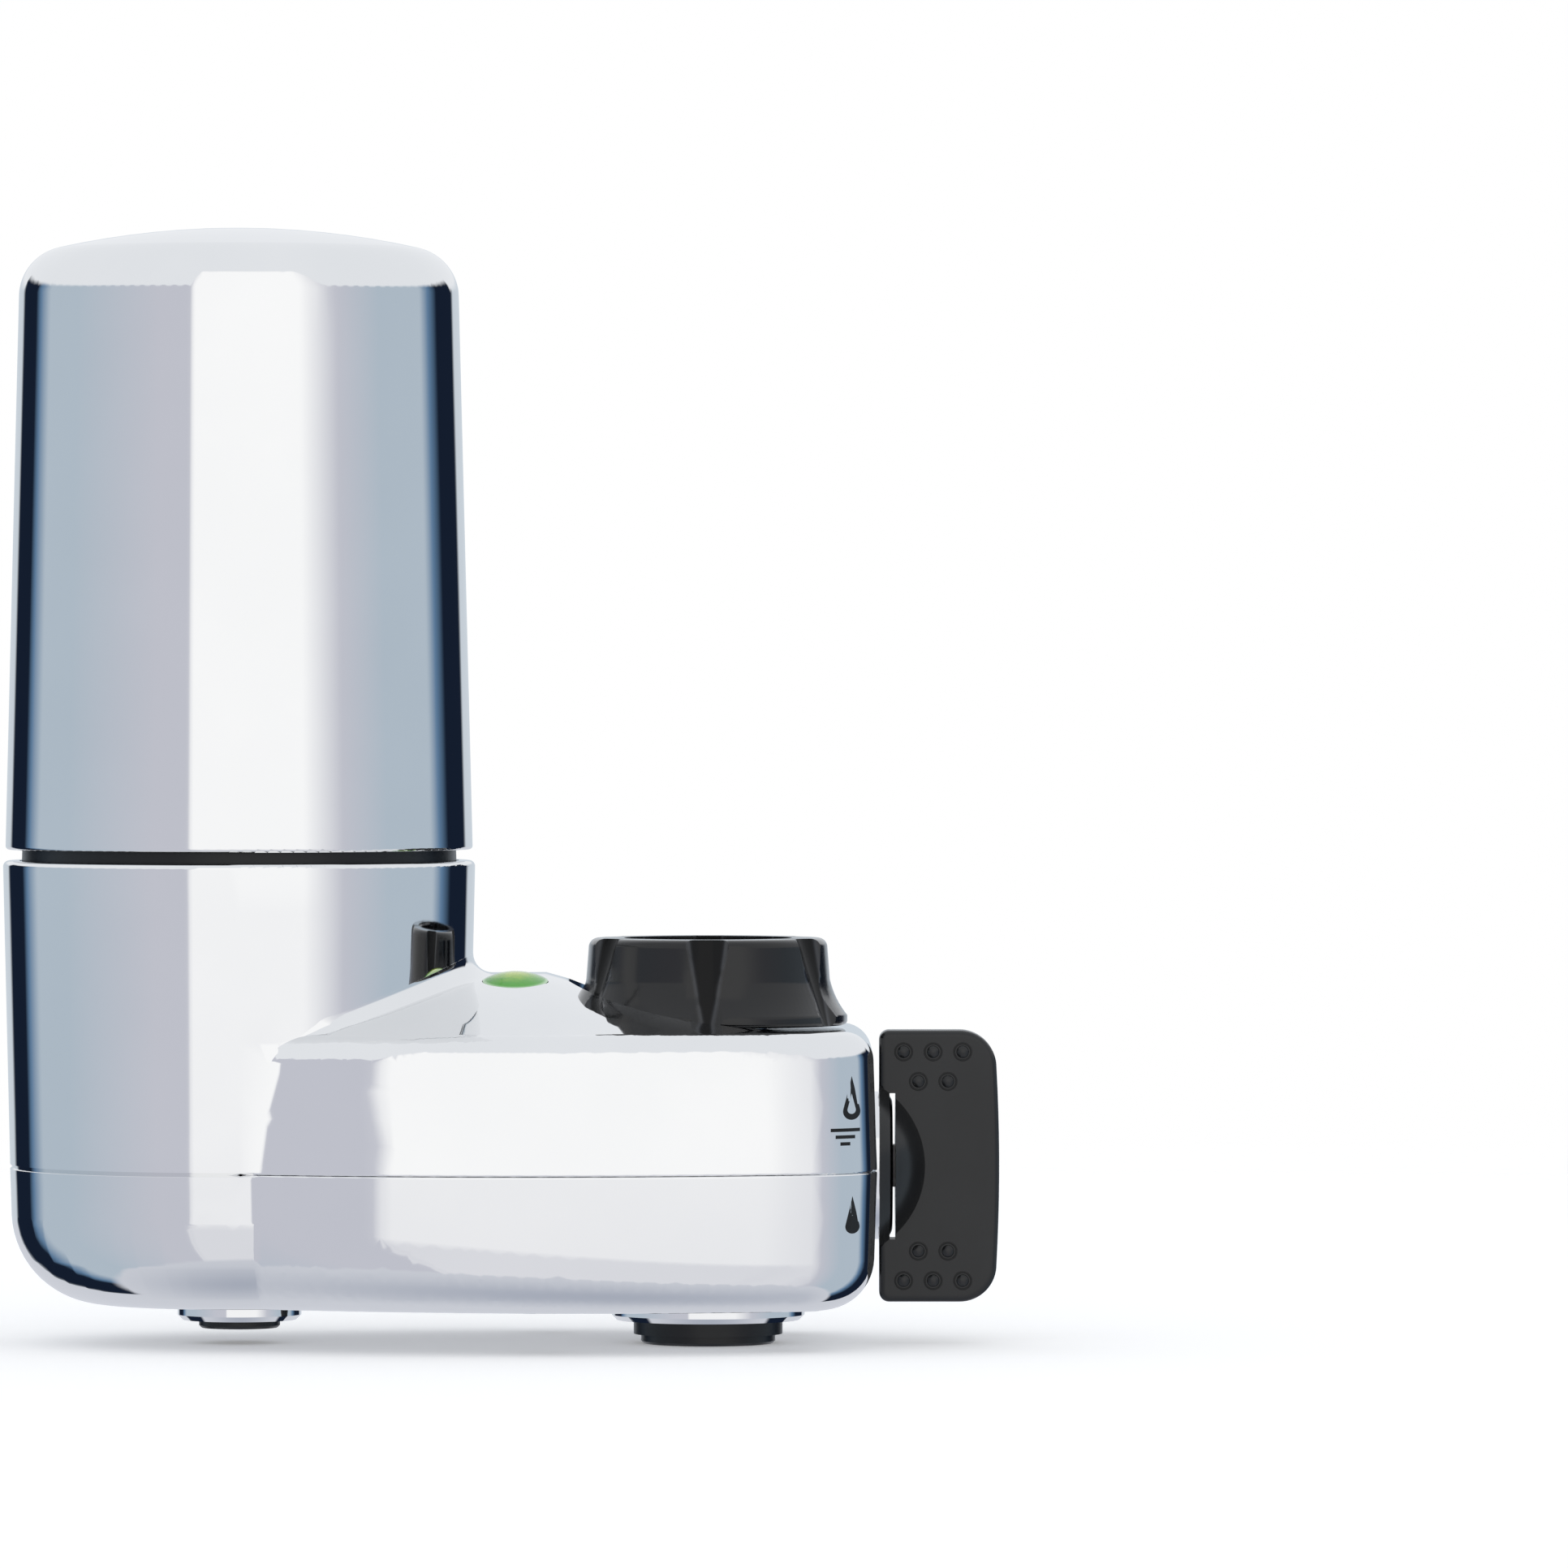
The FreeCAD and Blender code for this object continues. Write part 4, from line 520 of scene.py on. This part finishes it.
def crease_band():
    """Concave rounding in the corner between the cup and the roof of the arm."""
    shape = bmesh.new()
    rows = []
    for n in range(BAND_TURNS + 1):
        turn = math.radians(BAND_REACH * (2 * n / BAND_TURNS - 1))
        width = BAND_WIDTH
        while width > BAND_LEAST and roof_under(cup_wall(0) + width, turn) is None:
            width -= BAND_NARROWER
        if width <= BAND_LEAST:
            continue
        foot = roof_under(cup_wall(0) + width, turn)
        inner = cup_wall(foot + width)
        points = []
        for k in range(BAND_STEPS + 1):
            bend = math.pi / 2 * k / BAND_STEPS
            points.append((inner + width * (1 - math.sin(bend)), foot + width * (1 - math.cos(bend))))
        points.append((inner - BAND_SINK, foot + width - BAND_NARROWER))
        points.append((inner - BAND_SINK, foot - BAND_SINK))
        points.append((inner + width, foot - BAND_SINK))
        across, along = math.cos(turn) * MM, math.sin(turn) * MM
        rows.append([shape.verts.new((CUP_AXIS * MM + r * across, r * along, z * MM)) for r, z in points])
    for near, far in zip(rows, rows[1:]):
        for a in range(len(near)):
            b = (a + 1) % len(near)
            shape.faces.new((near[a], near[b], far[b], far[a]))
    shape.faces.new(rows[0])
    shape.faces.new(rows[-1])
    bmesh.ops.recalc_face_normals(shape, faces=shape.faces)
    finished("crease_band", shape, FINISHES["chrome_plate"], "upper_shell")


THREAD_RADIUS = 11.4
THREAD_PITCH = 0.94
THREAD_TURNS = 4
THREAD_STEPS = 56
THREAD_HEIGHT = 0.45
THREAD_SINK = 0.15
THREAD_START = -0.4
THREAD_FOOT = 0.42
THREAD_CREST = 0.06


def nut_thread():
    """Helical ridge in the nut's bore."""
    shape = bmesh.new()
    low = THREAD_START - THREAD_TURNS * THREAD_PITCH
    outer, inner = THREAD_RADIUS + THREAD_SINK, THREAD_RADIUS - THREAD_HEIGHT
    outline = ((outer, -THREAD_FOOT), (inner, -THREAD_CREST), (inner, THREAD_CREST), (outer, THREAD_FOOT))
    section = [shape.verts.new((x * MM, 0, (low + z) * MM)) for x, z in outline]
    face = shape.faces.new(section)
    bmesh.ops.spin(shape, geom=[face, *face.verts, *face.edges], cent=(0, 0, 0), axis=(0, 0, 1),
                   dvec=(0, 0, THREAD_PITCH / THREAD_STEPS * MM), angle=math.tau * THREAD_TURNS,
                   steps=THREAD_STEPS * THREAD_TURNS, use_merge=False)
    bmesh.ops.recalc_face_normals(shape, faces=shape.faces)
    finished("nut_thread", shape, NUT_BLACK, "mounting_nut")


LEVER_CENTRE = -30.9
DOT_START = 26.5
DOT_ROW = 15.5
DOT_SPACING = 4.0
DOT_RING = 1.15
DOT_RING_TUBE = 0.13
DOT_RING_FLAT = 0.6
DOT_RING_SIDES = 8
DOT_RING_STEPS = 28


def dot_places():
    """Three dots across each end of the lever, and two between them and the hub."""
    places = []
    for side in (-1, 1):
        for column in range(3):
            places.append((DOT_START + DOT_SPACING * column, side * DOT_ROW))
        for column in range(2):
            places.append((DOT_START + DOT_SPACING * (column + 0.5), side * (DOT_ROW - DOT_SPACING)))
    return places


def dot_rings():
    """Dark line round each grip dot of the lever."""
    shape = bmesh.new()
    for x, z in dot_places():
        level = LEVER_CENTRE + z
        depth = front((LEVER,), x, level + DOT_RING)
        loop = []
        for n in range(DOT_RING_SIDES):
            around = math.tau * n / DOT_RING_SIDES
            reach = x + DOT_RING + DOT_RING_TUBE * math.cos(around)
            proud = depth + DOT_RING_TUBE * DOT_RING_FLAT * math.sin(around)
            loop.append(shape.verts.new((reach * MM, proud * MM, level * MM)))
        edges = [shape.edges.new(pair) for pair in zip(loop, loop[1:] + loop[:1])]
        bmesh.ops.spin(shape, geom=[*loop, *edges], cent=(x * MM, depth * MM, level * MM), axis=(0, 1, 0),
                       angle=math.tau, steps=DOT_RING_STEPS, use_merge=True)
    bmesh.ops.recalc_face_normals(shape, faces=shape.faces)
    finished("dot_rings", shape, MARK_INK, "lever")


# Studio.

DOME_RADIUS = 2.6
SOFTBOX = (1.08, 1.08, 1.08, 1)
FILL = (0.48, 0.56, 0.64, 1)
LILAC = (0.60, 0.61, 0.68, 1)
BLUE = (0.12, 0.22, 0.36, 1)
NAVY = (0.008, 0.014, 0.030, 1)
RIM = (0.62, 0.68, 0.74, 1)
CEILING = (0.86, 0.88, 0.91, 1)
GROUND = (0.66, 0.68, 0.74, 1)
UNDER = (0.44, 0.47, 0.55, 1)

# Colour of the studio by azimuth, 0 in front of the object and 180 behind it.
PANELS = (
    (-180, RIM), (-151, RIM), (-147, NAVY), (-128, NAVY), (-123, BLUE), (-113, FILL),
    (-90, FILL), (-40, LILAC), (-24, LILAC), (-22, SOFTBOX), (33, SOFTBOX), (54, LILAC),
    (80, FILL), (112, FILL), (120, BLUE), (129, NAVY), (151, NAVY), (155, RIM),
)
BOX_LEFT = (-24, -22)
BOX_RIGHT = (34, 50)
BACK_START = (147, 151)

# Heights of the panels' edges, in degrees above the horizon, and the width of the blur there.
PANEL_TOP, BOX_HIGHER, BACK_LOWER = 11.0, 32.0, 6.0
PANEL_FOOT, BACK_FOOT_HIGHER = -50.0, 47.0
TOP_BLUR, FOOT_BLUR = 5.0, 4.0
BOX_DIM = (-16.0, 0.4)
BOX_DIM_SHARE = 0.6
UNDER_REACH = 42.0


def stage_piece(name, shape, finish):
    """A piece of the studio, which isn't part of the object."""
    piece = made(name, shape, finish)
    return piece


def studio_dome():
    """Round studio of soft panels, seen only in reflections."""
    shape = bmesh.new()
    bmesh.ops.create_uvsphere(shape, u_segments=36, v_segments=18, radius=DOME_RADIUS)
    finish = Finish("studio_light", **{
        "Base Color": grey(0.0), "Specular IOR Level": 0.0, "Emission Strength": 1.0,
    })
    x, y, z = finish.axes(finish.place(1.0))
    azimuth = x.angle(y * -1.0)
    rise = z.angle((x * x + y * y) ** 0.5)
    behind = (azimuth * azimuth).step(BACK_START[0] ** 2, BACK_START[1] ** 2)
    box = azimuth.step(*BOX_LEFT) * (1 - azimuth.step(*BOX_RIGHT))
    stops = [(turn / 360 + 0.5, colour) for turn, colour in PANELS]
    panels = finish.node("ShaderNodeValToRGB", {"stops": stops}, {0: azimuth / 360 + 0.5})
    dimmed = finish.mixed(box * (1 - rise.step(*BOX_DIM)) * BOX_DIM_SHARE, panels, LILAC)
    top = PANEL_TOP + box * BOX_HIGHER - behind * BACK_LOWER
    above = finish.mixed((rise - top).step(0.0, TOP_BLUR), dimmed, CEILING)
    foot = PANEL_FOOT + behind * BACK_FOOT_HIGHER
    below = finish.mixed((rise + 90.0).step(0.0, UNDER_REACH), UNDER, GROUND)
    finish.apply(**{"Emission Color": finish.mixed((foot - rise).step(0.0, FOOT_BLUR), above, below)})
    dome = stage_piece("studio_dome", shape, finish.material)
    dome.visible_camera = False
    dome.visible_shadow = False


FLOOR_SIZE = 2.0
FLOOR_CENTRE = (-30, 0, 0)
FLOOR_FADE = (250.0, 700.0)
FLOOR_GLOW = 0.25


def floor():
    """Pale floor that keeps the shadow and fades into the white behind."""
    shape = bmesh.new()
    level = Matrix.Translation((0, 0, cad_bounds[0][2]))
    bmesh.ops.create_grid(shape, x_segments=1, y_segments=1, size=FLOOR_SIZE, matrix=level)
    finish = Finish("floor_paint", **{
        "Base Color": grey(0.9), "Roughness": 0.9, "Specular IOR Level": 0.0, "Emission Strength": 1.0,
    })
    x, y, _ = finish.axes(finish.place(1000.0, FLOOR_CENTRE))
    away = (x * x + y * y) ** 0.5
    seen = finish.node("ShaderNodeLightPath", output="Is Camera Ray")
    finish.apply(**{
        "Emission Color": finish.mixed(seen, grey(0.0), grey(FLOOR_GLOW)),
        "Alpha": 1.0 - away.step(*FLOOR_FADE),
    })
    ground = stage_piece("floor", shape, finish.material)
    ground.visible_glossy = False


def surroundings():
    """White all round, which only the camera meets behind the object."""
    sky = bpy.data.worlds.new("surroundings")
    bpy.context.scene.world = sky
    sky.use_nodes = True
    background = sky.node_tree.nodes["Background"]
    background.inputs["Color"].default_value = (1, 1, 1, 1)
    background.inputs["Strength"].default_value = 1.0


CAMERA_PLACE = (0.0103, -1.55, 0.036)
CAMERA_TILT = math.radians(90 - 0.56)
CAMERA_LENS = 262.3


def camera():
    lens = bpy.data.cameras.new("camera")
    lens.lens = CAMERA_LENS
    lens.sensor_width = 36.0
    lens.clip_end = 50
    holder = bpy.data.objects.new("camera", lens)
    bpy.context.scene.collection.objects.link(holder)
    holder.location = CAMERA_PLACE
    holder.rotation_euler = (CAMERA_TILT, 0, 0)
    bpy.context.scene.camera = holder


for node, thing in frame["nodes"].items():
    thing.data.materials.clear()
    thing.data.materials.append(FINISHES[NODE_SLOT[node]])

# The outer pieces show smooth copies of their meshes.
SHOWN = ("upper_shell", "lower_shell", "cartridge_cover", "cartridge_base", "mounting_nut", "lever",
         "spray_head", "filtered_outlet", "bottom_plug", "indicator_lens", "release_button")
for node in SHOWN:
    finish = NUT_BLACK if node == "mounting_nut" else FINISHES[NODE_SLOT[node]]
    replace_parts(finished(node + "_finished", joined(node), finish, node), node)

printed_marks()
crease_band()
nut_thread()
dot_rings()
studio_dome()
floor()
surroundings()
camera()
bpy.context.scene.view_settings.view_transform = "Standard"
